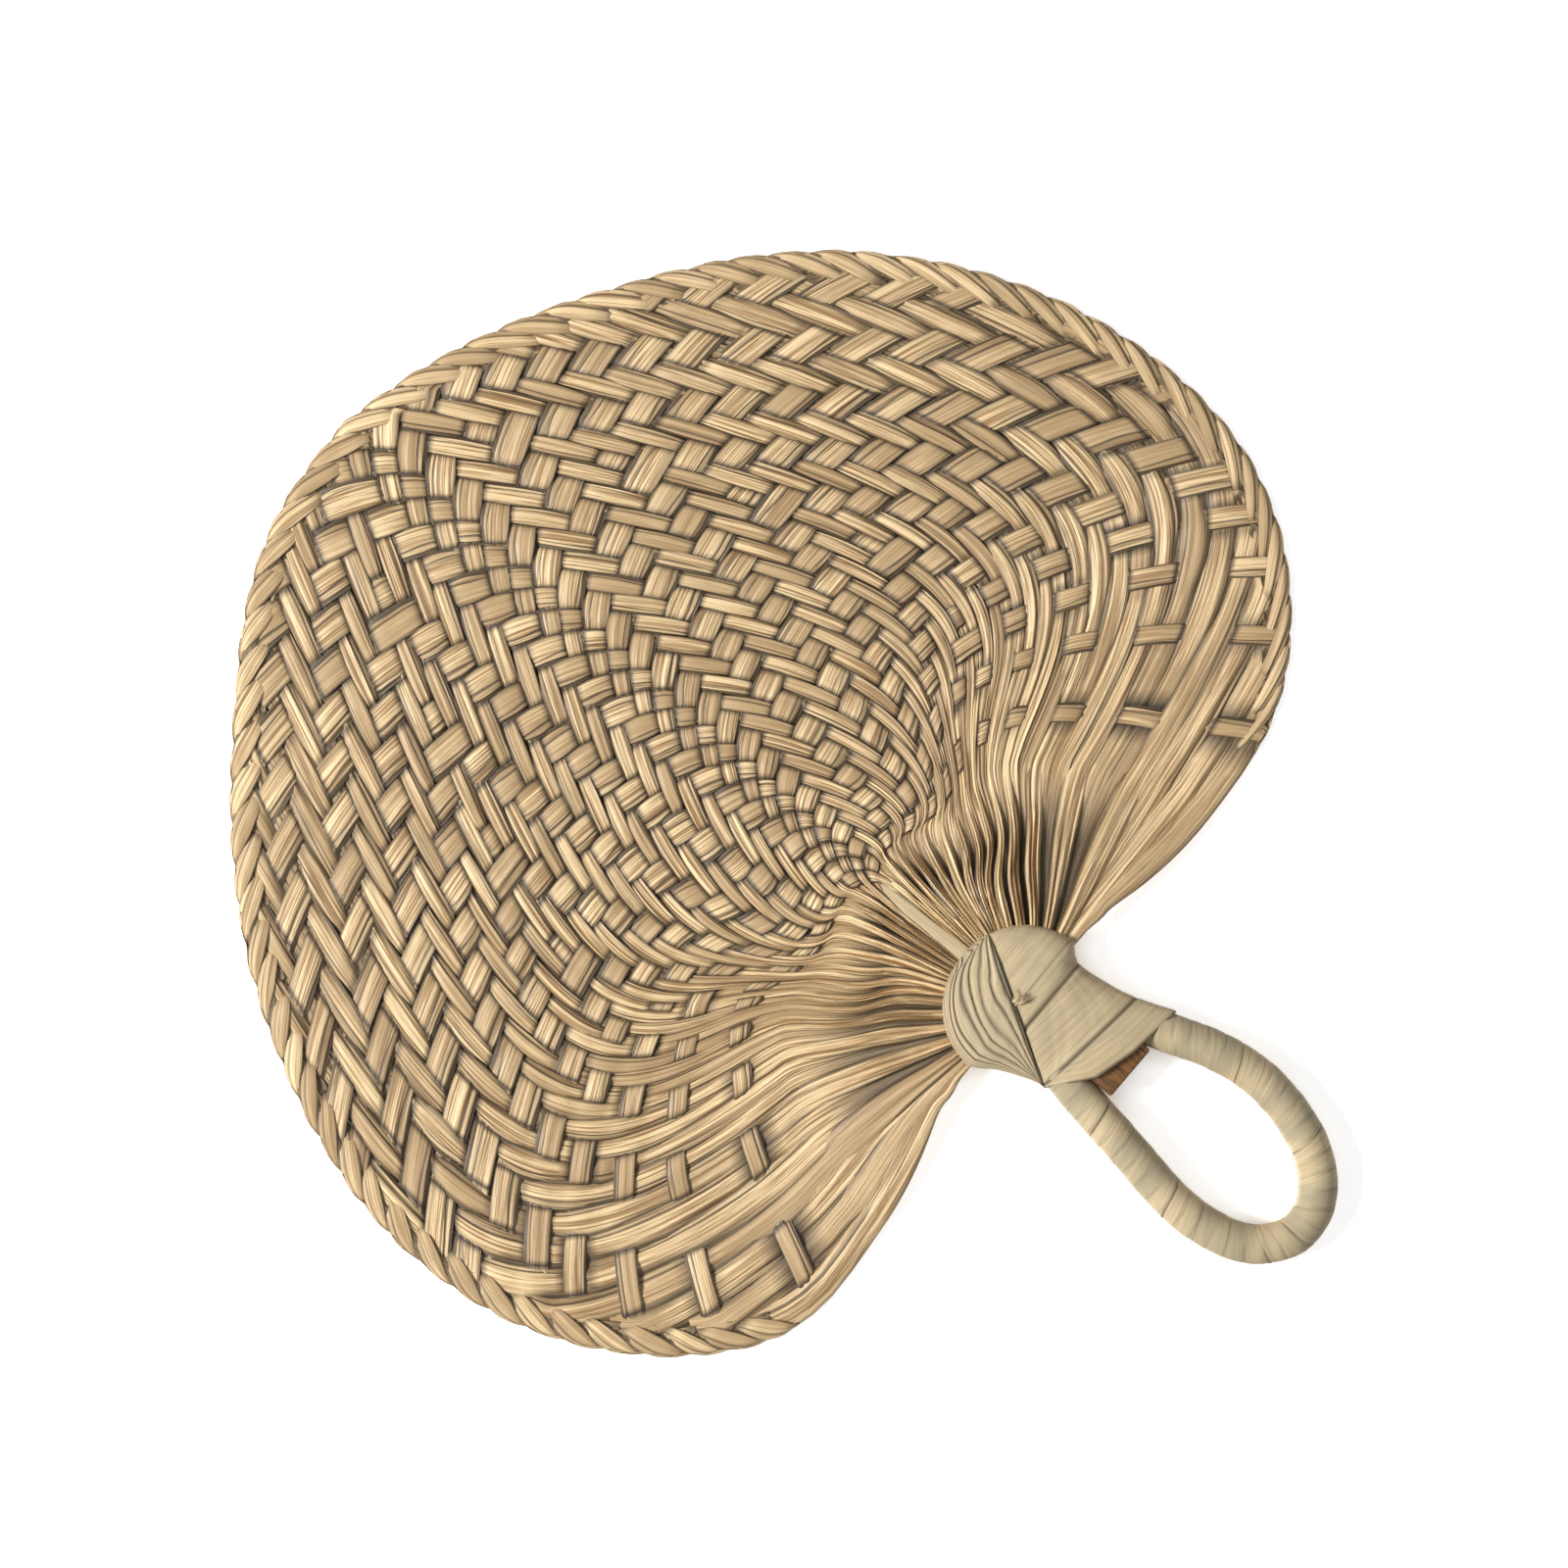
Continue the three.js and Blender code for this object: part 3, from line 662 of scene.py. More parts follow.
def grid_sheet(name, places, marks):
    """A grid whose points lie at places[row, column], in neck millimetres, with named marks on its points."""
    rows, columns = places.shape[:2]
    bpy.ops.object.select_all(action="DESELECT")
    bpy.ops.mesh.primitive_grid_add(x_subdivisions=columns - 1, y_subdivisions=rows - 1, size=1)
    sheet = bpy.context.object
    sheet.name = name
    mesh = sheet.data
    flat = np.empty(3 * len(mesh.vertices))
    mesh.vertices.foreach_get("co", flat)
    at = flat.reshape(-1, 3)
    column = np.rint((at[:, 0] + 0.5) * (columns - 1)).astype(int)
    row = np.rint((at[:, 1] + 0.5) * (rows - 1)).astype(int)
    mesh.vertices.foreach_set("co", to_frame(places[row, column]).ravel())
    for mark in MARKS:
        values = np.broadcast_to(marks.get(mark, 0), (rows, columns))
        layer = mesh.attributes.new(mark, "FLOAT", "POINT")
        layer.data.foreach_set("value", values[row, column].astype(np.float32))
    return sheet


def join(name, sheets):
    select_only(*sheets)
    if len(sheets) > 1:
        bpy.ops.object.join()
    piece = bpy.context.object
    piece.name = name
    piece.data.name = name
    return piece


def thicken(piece, thickness, offset):
    """Gives a sheet its thickness and shades it smooth, with its cut edges sharp."""
    select_only(piece)
    wall = piece.modifiers.new("Wall", "SOLIDIFY")
    wall.thickness = thickness
    wall.offset = offset
    bpy.ops.object.modifier_apply(modifier=wall.name)
    bpy.ops.object.shade_smooth_by_angle(angle=math.radians(LEAF_SMOOTHING))


def outward(piece):
    """Turns all faces of a closed piece outward."""
    select_only(piece)
    bpy.ops.object.mode_set(mode="EDIT")
    bpy.ops.mesh.select_all(action="SELECT")
    bpy.ops.mesh.normals_make_consistent(inside=False)
    bpy.ops.object.mode_set(mode="OBJECT")


def dress(piece, material):
    piece.data.materials.clear()
    piece.data.materials.append(material)


def bend_with_blade(piece):
    """Bakes the piece's place into its points, with no bending and no body to follow."""
    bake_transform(piece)


def wobble(values, seed, waves, size):
    """Gentle irregular wave, the same each time for a seed."""
    chance = np.random.default_rng(seed)
    total = np.zeros(np.shape(values))
    for turn in range(1, WOBBLE_WAVES + 1):
        total += np.sin(waves * turn * np.asarray(values) + chance.uniform(0, 2 * math.pi)) / turn
    return size * total / WOBBLE_PEAK


def over_table(height):
    """Heights of a leaf's middle, raised where its underside would dip into the table."""
    return np.maximum(height, LOWEST + settings().leaf.thickness / MM / 2)


# Weave


def spread(strand):
    """Strands in the lobes lie further apart than those near the middle."""
    return strand + LOBE_WIDENING * np.maximum(0, strand - LOBE_STRAND) ** 2


def crossing(own, other):
    """Plan point where a strand of the right family meets one of the left."""
    i = spread(np.asarray(own, float))
    j = spread(np.asarray(other, float))
    apart = i - j
    row = (i + j) / 2
    depth = i * j / np.maximum(i + j, END_STEP)
    column = COLUMN_PITCH * (1 - np.exp(-(depth + COLUMN_LEAD) / COLUMN_OPENING))
    bend = np.sqrt(apart**2 + DROP_ROUNDING**2) - DROP_ROUNDING
    drop = DROP_CURVE * apart**2 + DROP_SLOPE * bend
    up = WEAVE_START_Y + ROW_PITCH * row + ROW_GROWTH * row**2
    return np.stack([column * apart, up - (DROP_BASE + DROP_RISE * depth) * drop], -1)


def settled(side, plan):
    """Plan point on its own side of the fan, with the droop of the left lobe and of the weave's edge."""
    x, y = plan[..., 0], plan[..., 1]
    lobe = smooth(-side * x, *LOBE_DROOP_SIDE) * (1 - smooth(y, *LOBE_DROOP_HEIGHT))
    beside_rib = np.exp(-(((np.abs(x) - SAG_SIDE) / SAG_REACH) ** 2))
    sag = beside_rib * smooth(y, *SAG_BELOW) * (1 - smooth(y, *SAG_ABOVE))
    return np.stack([side * x, y - LOBE_DROOP * lobe - SAG * sag], -1)


def mouth(strand, inset):
    """Where a strand leaves the neck, and which way it points there."""
    numbers, angles = zip(*MOUTH_ANGLES)
    angle = np.radians(np.interp(strand, numbers, angles))
    way = np.stack([np.sin(angle), np.cos(angle)], -1)
    reach = np.array([NECK_HALF_WIDTH - inset, NECK_HALF_LENGTH - inset])
    place = np.array([0, NECK_CENTRE_Y]) + way * reach
    straight = unit(crossing(strand, 0) - place)
    return place, mix(way, straight, MOUTH_DIRECTNESS)


def gathered(strand, share):
    """Plan point of the loose stretch from the neck to the strand's first crossing."""
    strand, share = np.broadcast_arrays(np.asarray(strand, float), np.asarray(share, float))
    place, way = mouth(strand, MOUTH_INSET)
    join_at = crossing(strand, 0)
    run = unit(crossing(strand, END_STEP) - join_at)
    gap = np.linalg.norm(join_at - place, axis=-1, keepdims=True)
    share = share[..., None]
    back = 1 - share
    corners = (place, place + way * gap * MOUTH_HANDLE, join_at - run * gap * WEAVE_HANDLE, join_at)
    weights = (back**3, 3 * back**2 * share, 3 * back * share**2, share**3)
    return sum(weight * corner for weight, corner in zip(weights, corners))


def twill(step):
    """Two over, two under."""
    return np.abs((step + 1) // 2) % 2 == 0


def right_on_top(right, left):
    """The twill is mirrored about the middle of the blade and turned again in the lobes."""
    turned = 2 * TWILL_TURN - right - left
    from_right = twill(np.where(right < TWILL_TURN, right - left, turned))
    from_left = ~twill(np.where(left < TWILL_TURN, left - right - 1, turned - 1))
    return np.where(right >= left, from_right, from_left)


def from_centre(side, plan):
    """Distance from the outline's centre, the blade's edge in that direction and the angle from the tip."""
    up = plan[..., 1] - OUTLINE_CENTRE_Y
    angle = np.degrees(np.arctan2(side * plan[..., 0], up))
    return np.hypot(plan[..., 0], up), edge_all_round(side, angle), np.abs(angle)


def strand_end(side, strand):
    """How many crossing strands a strand passes before it reaches the rim."""
    alongs = np.arange(END_STEP, STRANDS, END_STEP)
    radius, edge, angle = from_centre(side, settled(side, crossing(strand, alongs)))
    tucked = (radius > edge - RIM_TUCK) & (angle < RIM_END_ANGLE)
    return alongs[np.argmax(tucked)] if tucked.any() else alongs[-1]


def held_inside(side, plan):
    """Strands that would leave the blade bend along its edge until the rim takes them."""
    radius, edge, angle = from_centre(side, plan)
    past_rim = smooth(angle, RIM_END_ANGLE - RIM_END_BLEND, RIM_END_ANGLE + RIM_END_BLEND)
    excess = np.maximum(0, radius - edge + RIM_MARGIN * (1 - past_rim)).max(1)
    inward = unit(np.array([0, OUTLINE_CENTRE_Y]) - plan[:, plan.shape[1] // 2])
    return plan + (inward * excess[:, None])[:, None]


def widest(number):
    """Widest that a strand's strip may be."""
    return mix(*STRIP_WIDTHS, smooth(number, *STRIP_WIDENING))


def lane_length(strand, along):
    """Millimetres from one crossing strand to the next along a strand."""
    return np.linalg.norm(crossing(strand, along + 0.5) - crossing(strand, along - 0.5), axis=-1)


def floats(signs, strand, alongs):
    """Lift, arch, painted shade beside crossing strips, number of the float and open share of the lane along
    a strand.
    """
    others = np.arange(STRANDS)
    cover = np.minimum(0.5, widest(others) / 2 / lane_length(strand, others + 0.5))
    off = np.abs(alongs[:, None] - others - 0.5)
    window = 1 - smooth(off, cover - TURN_LENGTH, cover + TURN_LENGTH)
    lift = (signs * window).sum(1)
    turns = np.flatnonzero(np.diff(signs)) + 1
    arch = smooth(np.abs(alongs[:, None] - turns).min(1), 0, FLOAT_ARCH)
    away = np.abs(off - cover) * lane_length(strand, alongs)[:, None]
    # Painted shade beside each strip that crosses over this one
    shade_paint = np.where(signs < 0, 1 - smooth(away, *DIVE_SHADE), 0).max(1)
    opening = 1 - 2 * np.interp(alongs, others + 0.5, cover)
    return lift, arch, shade_paint, (alongs[:, None] > turns).sum(1), opening


def strip_section(at, chance):
    """Share of the half width, height and painted shade of each column of a strip with one edge folded over
    twice.
    """
    seed = int(chance.integers(1000))
    first = (chance.uniform(*FIRST_FOLD) + wobble(at, seed, waves=0.9, size=0.13))[:, None]
    second = (chance.uniform(*SECOND_FOLD) + wobble(at, seed + 1, waves=1.1, size=0.06))[:, None]
    face = mix(-1, first - FOLD_HALF_WIDTH, np.linspace(0, 1, FACE_COLUMNS)[None, :])
    first_fold = [first + FOLD_HALF_WIDTH, (first + second) / 2, second - FOLD_HALF_WIDTH]
    second_fold = [second + FOLD_HALF_WIDTH, np.ones_like(first)]
    across = np.hstack([face, *first_fold, *second_fold])
    steps = np.zeros(across.shape[1])
    steps[FACE_COLUMNS:] -= chance.uniform(*FOLD_STEP)
    steps[-len(second_fold):] -= chance.uniform(*FOLD_STEP)
    steps[[0, -1]] -= EDGE_DROP
    facet_height = chance.uniform(*FACET_HEIGHT)
    facets = np.arcsin(np.sin(2 * math.pi * (FACETS * across + chance.uniform())))
    height = steps + facet_height * facets - settings().leaf.crown / MM * across**2
    shade_paint = np.broadcast_to(STRIP_SHADE, across.shape)
    if chance.uniform() < 0.5:
        return -across[:, ::-1], height[:, ::-1], shade_paint[:, ::-1]
    return across, height, shade_paint


def strip_profile(at, lobe, chance):
    """Columns of a strip all along it, with weaker folds and darker painted shade at the edges where it is
    loose.
    """
    across, section, shade_paint = strip_section(at, chance)
    folded = smooth(at, FOLDS_FROM * GATHER_HEAD, 0)[:, None]
    shade_paint = shade_paint * np.maximum(folded, np.where(np.abs(across) > STRIP_EDGE, 1, LOOSE_FOLD_SHADE))
    shade_paint = np.maximum(shade_paint, EDGE_SHADE * (1 - folded) * smooth(np.abs(across), EDGE_START, 1))
    crown = mix(LOOSE_CROWN, LOBE_CROWN * lobe, folded)
    return across, section * mix(LOOSE_SECTION, 1, folded) - crown * across**2, shade_paint


def half_width(number, lobe, alongs, arch, opening):
    """Half the width of a woven strip in lanes, pinched at the ends of its floats."""
    fill = FLOAT_FILL - mix(*FLOAT_PINCH, lobe) * (1 - arch)
    half = settings().leaf.fill / 2 * fill * mix(1, LOBE_FILL, lobe)
    lane = np.linalg.norm(crossing(number + 1, alongs) - crossing(number, alongs), axis=1)
    return np.minimum(half * (1 + OPEN_LANE_FILL * opening), widest(number) / 2 / lane)


def lobe_valleys(lobe, alongs, arch, lane_share):
    """In the lobes floats swell like leaves: how pinched their ends are, and the painted shade between
    neighbours.
    """
    run_in = smooth(alongs, 0, VALLEY_RUN_IN)
    pinched = lobe * (1 - arch) * run_in
    start = mix(VALLEY_START, VALLEY_END_START, pinched)[:, None]
    return pinched, VALLEY_SHADE * lobe * smooth(lane_share, start, 1) * run_in[:, None]


def strand_marks(chance, count, length, across, shade_paint):
    """Marks of a strand, with an age for the whole strip and a tone for each float."""
    tones = chance.uniform(-FLOAT_TONES, FLOAT_TONES, STRANDS)
    tone = np.append(np.full(GATHER_STATIONS, LOOSE_TONE * tones[0]), tones[count])
    values = (length[:, None], across, chance.uniform(), tone[:, None], shade_paint)
    return {mark: np.broadcast_to(value, across.shape) for mark, value in zip(MARKS, values)}


def is_broad(number):
    """One strand in a few spreads over its neighbours between the neck and the weave."""
    return number % BROAD_EVERY == 1 and number < OUTER_STRAND


def is_hidden(number):
    """The others lie below the broad ones, apart from the outermost."""
    return not is_broad(number) and number < OUTER_STRAND


def loose_stretch(number, across, chance, start, half, tilt, lift):
    """Plan points and heights from the neck to the first crossing, where the last four values hold."""
    shares = np.linspace(0, 1, GATHER_STATIONS, endpoint=False)
    centre = gathered(start, shares)
    run = unit(np.gradient(centre, axis=0))
    lateral = np.stack([run[:, 1], -run[:, 0]], -1)
    natural = gathered(start + half * across, shares[:, None])
    lane = np.linalg.norm(gathered(start + 0.5, shares) - gathered(start - 0.5, shares), axis=1)
    broad = is_broad(number)
    lanes = (BROAD_LANES if broad else HIDDEN_LANES) * chance.uniform(*LOOSE_WIDTHS)
    least = BROAD_LEAST if broad else HIDDEN_LEAST
    narrowing = smooth(shares, *NARROWING)
    width = np.maximum(lane * mix(lanes, 2 * half, narrowing), mix(least, 0, narrowing))
    width = np.minimum(width, BROAD_MOST)
    flat = centre[:, None] + lateral[:, None] * (across * width[:, None] / 2)[..., None]
    plan = mix(flat, natural, smooth(shares, *JOINING)[:, None, None])
    loose = 1 - smooth(shares, *SETTLING)
    roll = mix(*GATHER_ROLL, number / STRANDS) + chance.uniform(-ROLL_CHANCE, ROLL_CHANCE)
    roll = np.radians(roll) * loose * (1 if broad else HIDDEN_ROLL)
    offset = plan - centre[:, None]
    plan = centre[:, None] + offset * np.cos(roll)[:, None, None]
    rise = -np.sin(roll)[:, None] * np.sign(across) * np.linalg.norm(offset, axis=-1)
    folds = chance.uniform(*CRUMPLE_FOLDS) * across + chance.uniform() + CRUMPLE_DRIFT * shares[:, None]
    crumple = GATHER_CRUMPLE * broad * (1 - 2 * np.abs(np.sin(2 * math.pi * folds)))
    stack = BROAD_RISE * broad - HIDDEN_DROP * is_hidden(number)
    entry = (1 - loose[:, None]) * (lift + tilt * across)
    return plan, rise + loose[:, None] * (stack + crumple) + entry


def strand_sheet(side, number):
    """One folded strip, from inside the neck to inside the rim."""
    chance = np.random.default_rng([number, side + 1])
    strand = number + 0.5
    lobe = smooth(number, *LOBE_NUMBERS)
    others = np.arange(STRANDS)
    over = right_on_top(number, others) if side > 0 else ~right_on_top(others, number)
    end = strand_end(side, strand)
    alongs = np.append(np.arange(0, end, WEAVE_STEP), end)
    at = np.append(np.linspace(-GATHER_HEAD, 0, GATHER_STATIONS, endpoint=False), alongs)
    across, section, shade_paint = strip_profile(at, lobe, chance)
    woven_across = across[GATHER_STATIONS:]

    lift, arch, dive_shade, count, opening = floats(np.where(over, 1, -1), strand, alongs)
    half = half_width(number, lobe, alongs, arch, opening)
    sway = wobble(alongs, [number, side + 1], SWAY_WAVES, SWAY)
    woven = crossing(strand + sway[:, None] + half[:, None] * woven_across, alongs[:, None])
    pinched, valley_shade = lobe_valleys(lobe, alongs, arch, 2 * half[:, None] * np.abs(woven_across))
    section[GATHER_STATIONS:] -= PINCH_CROWN * pinched[:, None] * woven_across**2
    # Painted shade in the valleys between neighbouring strands
    shade_paint[GATHER_STATIONS:] = np.maximum(shade_paint[GATHER_STATIONS:], valley_shade)
    tilt = chance.uniform(-FLOAT_TILT, FLOAT_TILT, STRANDS)[count] * arch * mix(1, LOBE_TILT, lobe)
    height = settings().leaf.lift / MM * lift * mix(FLOAT_END_LIFT, 1, arch)
    dip = RIM_DIP * smooth(alongs, end - 1, end)
    woven_height = (height - dip)[:, None] + tilt[:, None] * woven_across
    loose, loose_height = loose_stretch(
        number, across[:GATHER_STATIONS], chance, strand + sway[0], half[0], tilt[0], height[0],
    )

    plan = settled(side, np.concatenate([loose, woven]))
    widths = np.linalg.norm(plan[:, -1] - plan[:, 0], axis=1) / 2
    plan = held_inside(side, plan)
    height = np.concatenate([loose_height, woven_height]) + section
    height = over_table(height + blade_height(plan[..., 0], plan[..., 1]))
    places = raised(plan, height)
    length = run_lengths(places[:, across.shape[1] // 2])
    # Painted shade on the hidden strands in the hollows under the broad ones
    hollow = 1 - smooth(at[:GATHER_STATIONS] / GATHER_HEAD, *HOLLOWS_UNTIL)
    hollow_shade = GATHER_SHADE * is_hidden(number) * hollow
    shade_paint = np.maximum(shade_paint, np.append(hollow_shade, dive_shade)[:, None])
    marks = strand_marks(chance, count, length, across * widths[:, None], shade_paint)
    if side < 0:
        places = places[:, ::-1]
        marks = {name: value[:, ::-1] for name, value in marks.items()}
    return grid_sheet("strand", places, marks)


class PALMFAN_OT_weave_leaves(bpy.types.Operator):
    """Weave the doubled leaves of the blade"""

    bl_idname = "palm_fan.weave_leaves"
    bl_label = "Weave Leaves"

    def execute(self, context):
        material = leaf_material("woven_leaf", settings().leaf, roughness=0.48, contrast=1.4)
        for side, word in ((1, "right"), (-1, "left")):
            for leaf in range(LEAVES_PER_SIDE):
                numbers = range(leaf * STRANDS_PER_LEAF, (leaf + 1) * STRANDS_PER_LEAF)
                node = f"leaf_{word}_{leaf + 1:02d}"
                piece = join("woven_" + node, [strand_sheet(side, number) for number in numbers])
                thicken(piece, settings().leaf.thickness, 0)
                dress(piece, material)
                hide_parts(node)
                bend_with_blade(piece)
        return {"FINISHED"}


# Rim


def rim_line(side):
    """Angles and lengths along the middle of half the rim, from the tip and run on past both ends."""
    angles = np.linspace(-RIM_RUN_ON, RIM_END_ANGLE + RIM_RUN_ON, RIM_SAMPLES)
    lengths = run_lengths(rim_plan(side, angles, 0))
    return angles, lengths - np.interp(0, angles, lengths)


def rim_plan(side, angle, out):
    """Plan point at a distance outward from the rim's middle."""
    radius = edge_all_round(side, angle) - RIM_WIDTH / 2 + out
    turn = np.radians(angle)
    return np.stack([side * radius * np.sin(turn), OUTLINE_CENTRE_Y + radius * np.cos(turn)], -1)


def rim_fold(side, middle, under, chance):
    """One folded leaf end, slanting from under the weave out over the edge."""
    rim = settings().rim
    angles, lengths = rim_line(side)
    share = np.linspace(0, 1, RIM_FOLD_STATIONS)[:, None]
    across = np.array(RIM_FOLD_COLUMNS)[None, :]
    reach = rim.fold_length / MM * chance.uniform(*RIM_FOLD_LENGTHS)
    half = rim.fold_half_width / MM * chance.uniform(*RIM_FOLD_WIDTHS)
    way = side if under else -side
    swell = np.sin(math.pi * (share * 0.9 + 0.05)) ** RIM_FOLD_FULLNESS
    width = half * mix(RIM_FOLD_END_WIDTH, 1, swell)
    inner = -RIM_WIDTH / 2 - RIM_FOLD_INSIDE
    outer = RIM_WIDTH / 2 - RIM_FOLD_SHORT
    path = mix(inner, outer, smooth(share, *RIM_FOLD_TRAVELS))
    slant_along, slant_out = RIM_FOLD_SLANT
    length = middle + way * ((share - 0.5) * reach - slant_along * across * width)
    narrowing = 1 - RIM_FOLD_NARROWS * smooth(share, *RIM_FOLD_NARROWS_OVER)
    out = path + slant_out * across * width * narrowing
    scallop = np.exp(-(((share - SCALLOP_AT) / SCALLOP_REACH) ** 2))
    out = np.minimum(out, RIM_WIDTH / 2 - SCALLOP_FOOT + SCALLOP * scallop)
    arch = smooth(share, *RIM_FOLD_RISES) * (1 - smooth(share, *RIM_FOLD_SINKS))
    round_over = smooth(out, RIM_TURN_FROM, RIM_WIDTH / 2 + RIM_TURN_PAST)
    step = chance.uniform(*RIM_FOLD_STEP) * (across > RIM_FOLD_LINE)
    tuck, crest = UNDER_FOLD if under else FACE_FOLD
    height = mix(tuck, crest, arch) - RIM_FOLD_CROWN * across**2 - step - RIM_TURN_DOWN * round_over
    height = over_table(RIM_MIDDLE + (-height if under else height))
    plan = rim_plan(side, np.interp(length, lengths, angles), out)
    marks = {
        "along": share * reach,
        "across": across * width,
        "strip": chance.uniform(),
        "tone": chance.uniform(-RIM_FOLD_TONES, RIM_FOLD_TONES),
        # Painted shade along the fold's lines and at its tucked ends
        "painted_shade": np.maximum(RIM_FOLD_SHADE, RIM_FOLD_ENDS_SHADE * (1 - smooth(arch, *RIM_FOLD_SHADE_FADES))),
    }
    return grid_sheet("fold", raised(plan, height), marks)


def rim_heart(side):
    """The gathered leaf ends inside the folds, darkened with painted shade."""
    stations, columns = HEART_GRID
    angles = np.linspace(0, RIM_END_ANGLE, stations)[:, None]
    turn = np.linspace(0, 2 * math.pi, columns)[None, :]
    taper = np.sqrt(np.clip((RIM_END_ANGLE - angles) / HEART_TAPER, 0.02, 1))
    plan = rim_plan(side, angles, HEART_HALF_WIDTH * np.cos(turn) * taper)
    height = RIM_MIDDLE + HEART_HALF_HEIGHT * np.sin(turn) * taper
    marks = {"along": 2 * angles, "across": 2 * turn, "painted_shade": HEART_SHADE, "strip": 0.4}
    return grid_sheet("heart", raised(plan, height), marks)


class PALMFAN_OT_plait_rim(bpy.types.Operator):
    """Plait the folded leaf ends round the blade's edge"""

    bl_idname = "palm_fan.plait_rim"
    bl_label = "Plait Rim"

    def execute(self, context):
        material = leaf_material("plaited_rim", settings().leaf, roughness=0.6, contrast=1)
        pitch = settings().rim.fold_pitch / MM
        for side, word in ((1, "right"), (-1, "left")):
            angles, lengths = rim_line(side)
            whole = np.interp(RIM_END_ANGLE, angles, lengths)
            count = round(whole / pitch)
            chance = np.random.default_rng(70 + side)
            folds = [rim_heart(side)]
            for number in range(count + 1):
                middle = (number + 0.5) * whole / count + chance.uniform(-RIM_FOLD_SHIFT, RIM_FOLD_SHIFT)
                for under in (False, True):
                    folds.append(rim_fold(side, middle, under, chance))
            piece = join(f"plait_{word}", folds)
            thicken(piece, settings().leaf.thickness, 0)
            outward(piece)
            dress(piece, material)
            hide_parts(f"rim_plait_{word}")
            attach(piece, "blade")
        return {"FINISHED"}


# Neck


def neck_section(y):
    """Middle, half width and half depth of the neck at a height along the fan."""
    y = np.asarray(y, float)
    reach = np.clip((y - NECK_CENTRE_Y) / NECK_HALF_LENGTH, 0, 0.999)
    left, right, depth = (np.interp(y, THROAT_CURVE[:, 0], THROAT_CURVE[:, k]) for k in (1, 2, 3))
    dome = NECK_HALF_WIDTH * np.sqrt(1 - reach**2)
    dome_depth = mix(NECK_HALF_DEPTH, NECK_TOP_HALF_DEPTH, reach**2) * np.sqrt(1 - reach**NECK_CLOSING)
    above = y > NECK_CENTRE_Y
    middle = np.where(above, 0, (left + right) / 2)
    half = np.where(above, dome, (right - left) / 2)
    return middle, half, np.where(above, dome_depth, depth)


def on_neck(y, turn, out):
    """Point on the neck's skin, raised by a height in millimetres."""
    middle, half, depth = neck_section(y)

    def bulge(value):
        return np.sign(value) * np.abs(value) ** (2 / NECK_SQUARENESS)

    x = middle + (half + NECK_SIDE_SHARE * out) * bulge(np.cos(turn))
    z = np.maximum(LOWEST, NECK_HEIGHT + (depth + out) * bulge(np.sin(turn)))
    return np.stack(np.broadcast_arrays(x, y, z), -1)


def turn_at(y, x):
    """Turn round the neck at which its front lies at x."""
    middle, half, _ = neck_section(y)
    share = np.clip((x - middle) / half, -0.9999, 0.9999)
    return np.arccos(np.sign(share) * np.abs(share) ** (NECK_SQUARENESS / 2))


def band_edge_x(y):
    """Where the band's straight edge crosses the front."""
    (x0, y0), (x1, y1) = BAND_EDGE
    return x0 + (x1 - x0) * (y - y0) / (y1 - y0)


def seam_y(seam_shade, x):
    xs, ys = zip(*seam_shade)
    return np.interp(x, xs, ys)


def lip(distance, reach):
    """1 at an edge, falling to 0 inside the sheet."""
    return 1 - smooth(distance, 0, reach)


def cap_sheet():
    """The smooth leaf over the neck's right side."""
    row_count, columns = CAP_GRID
    rows = np.linspace(CAP_SEAM_Y + CAP_GAP, CAP_TOP_Y, row_count)[:, None]
    share = np.linspace(1, -1, columns)[None, :]
    turn = share * turn_at(rows, band_edge_x(rows))
    edge = np.maximum(lip(rows - CAP_SEAM_Y, CAP_SEAM_LIP), lip(1 - np.abs(share), CAP_SIDE_LIP))
    wrinkle = wobble(rows + 4 * share, seed=5, waves=0.5, size=0.12)
    wrinkle = wrinkle + wobble(share * 20, seed=6, waves=0.6, size=0.06)
    places = on_neck(rows, turn, CAP_OUT + wrinkle - CAP_EDGE_THINS * edge)
    off_crease = np.abs(rows - CAP_CREASE_Y - CAP_CREASE_WAVE * np.sin(3 * share))
    line = lip(off_crease, CAP_CREASE_HALF) * (share > 0)
    # Painted shade at the cap's edges and along its fold
    painted_shade = np.maximum(CAP_EDGE_SHADE * edge, CAP_CREASE_SHADE * line)
    marks = {"along": share * CAP_ROUND, "across": rows, "strip": 0.35, "painted_shade": painted_shade}
    return grid_sheet("cap", places, marks)


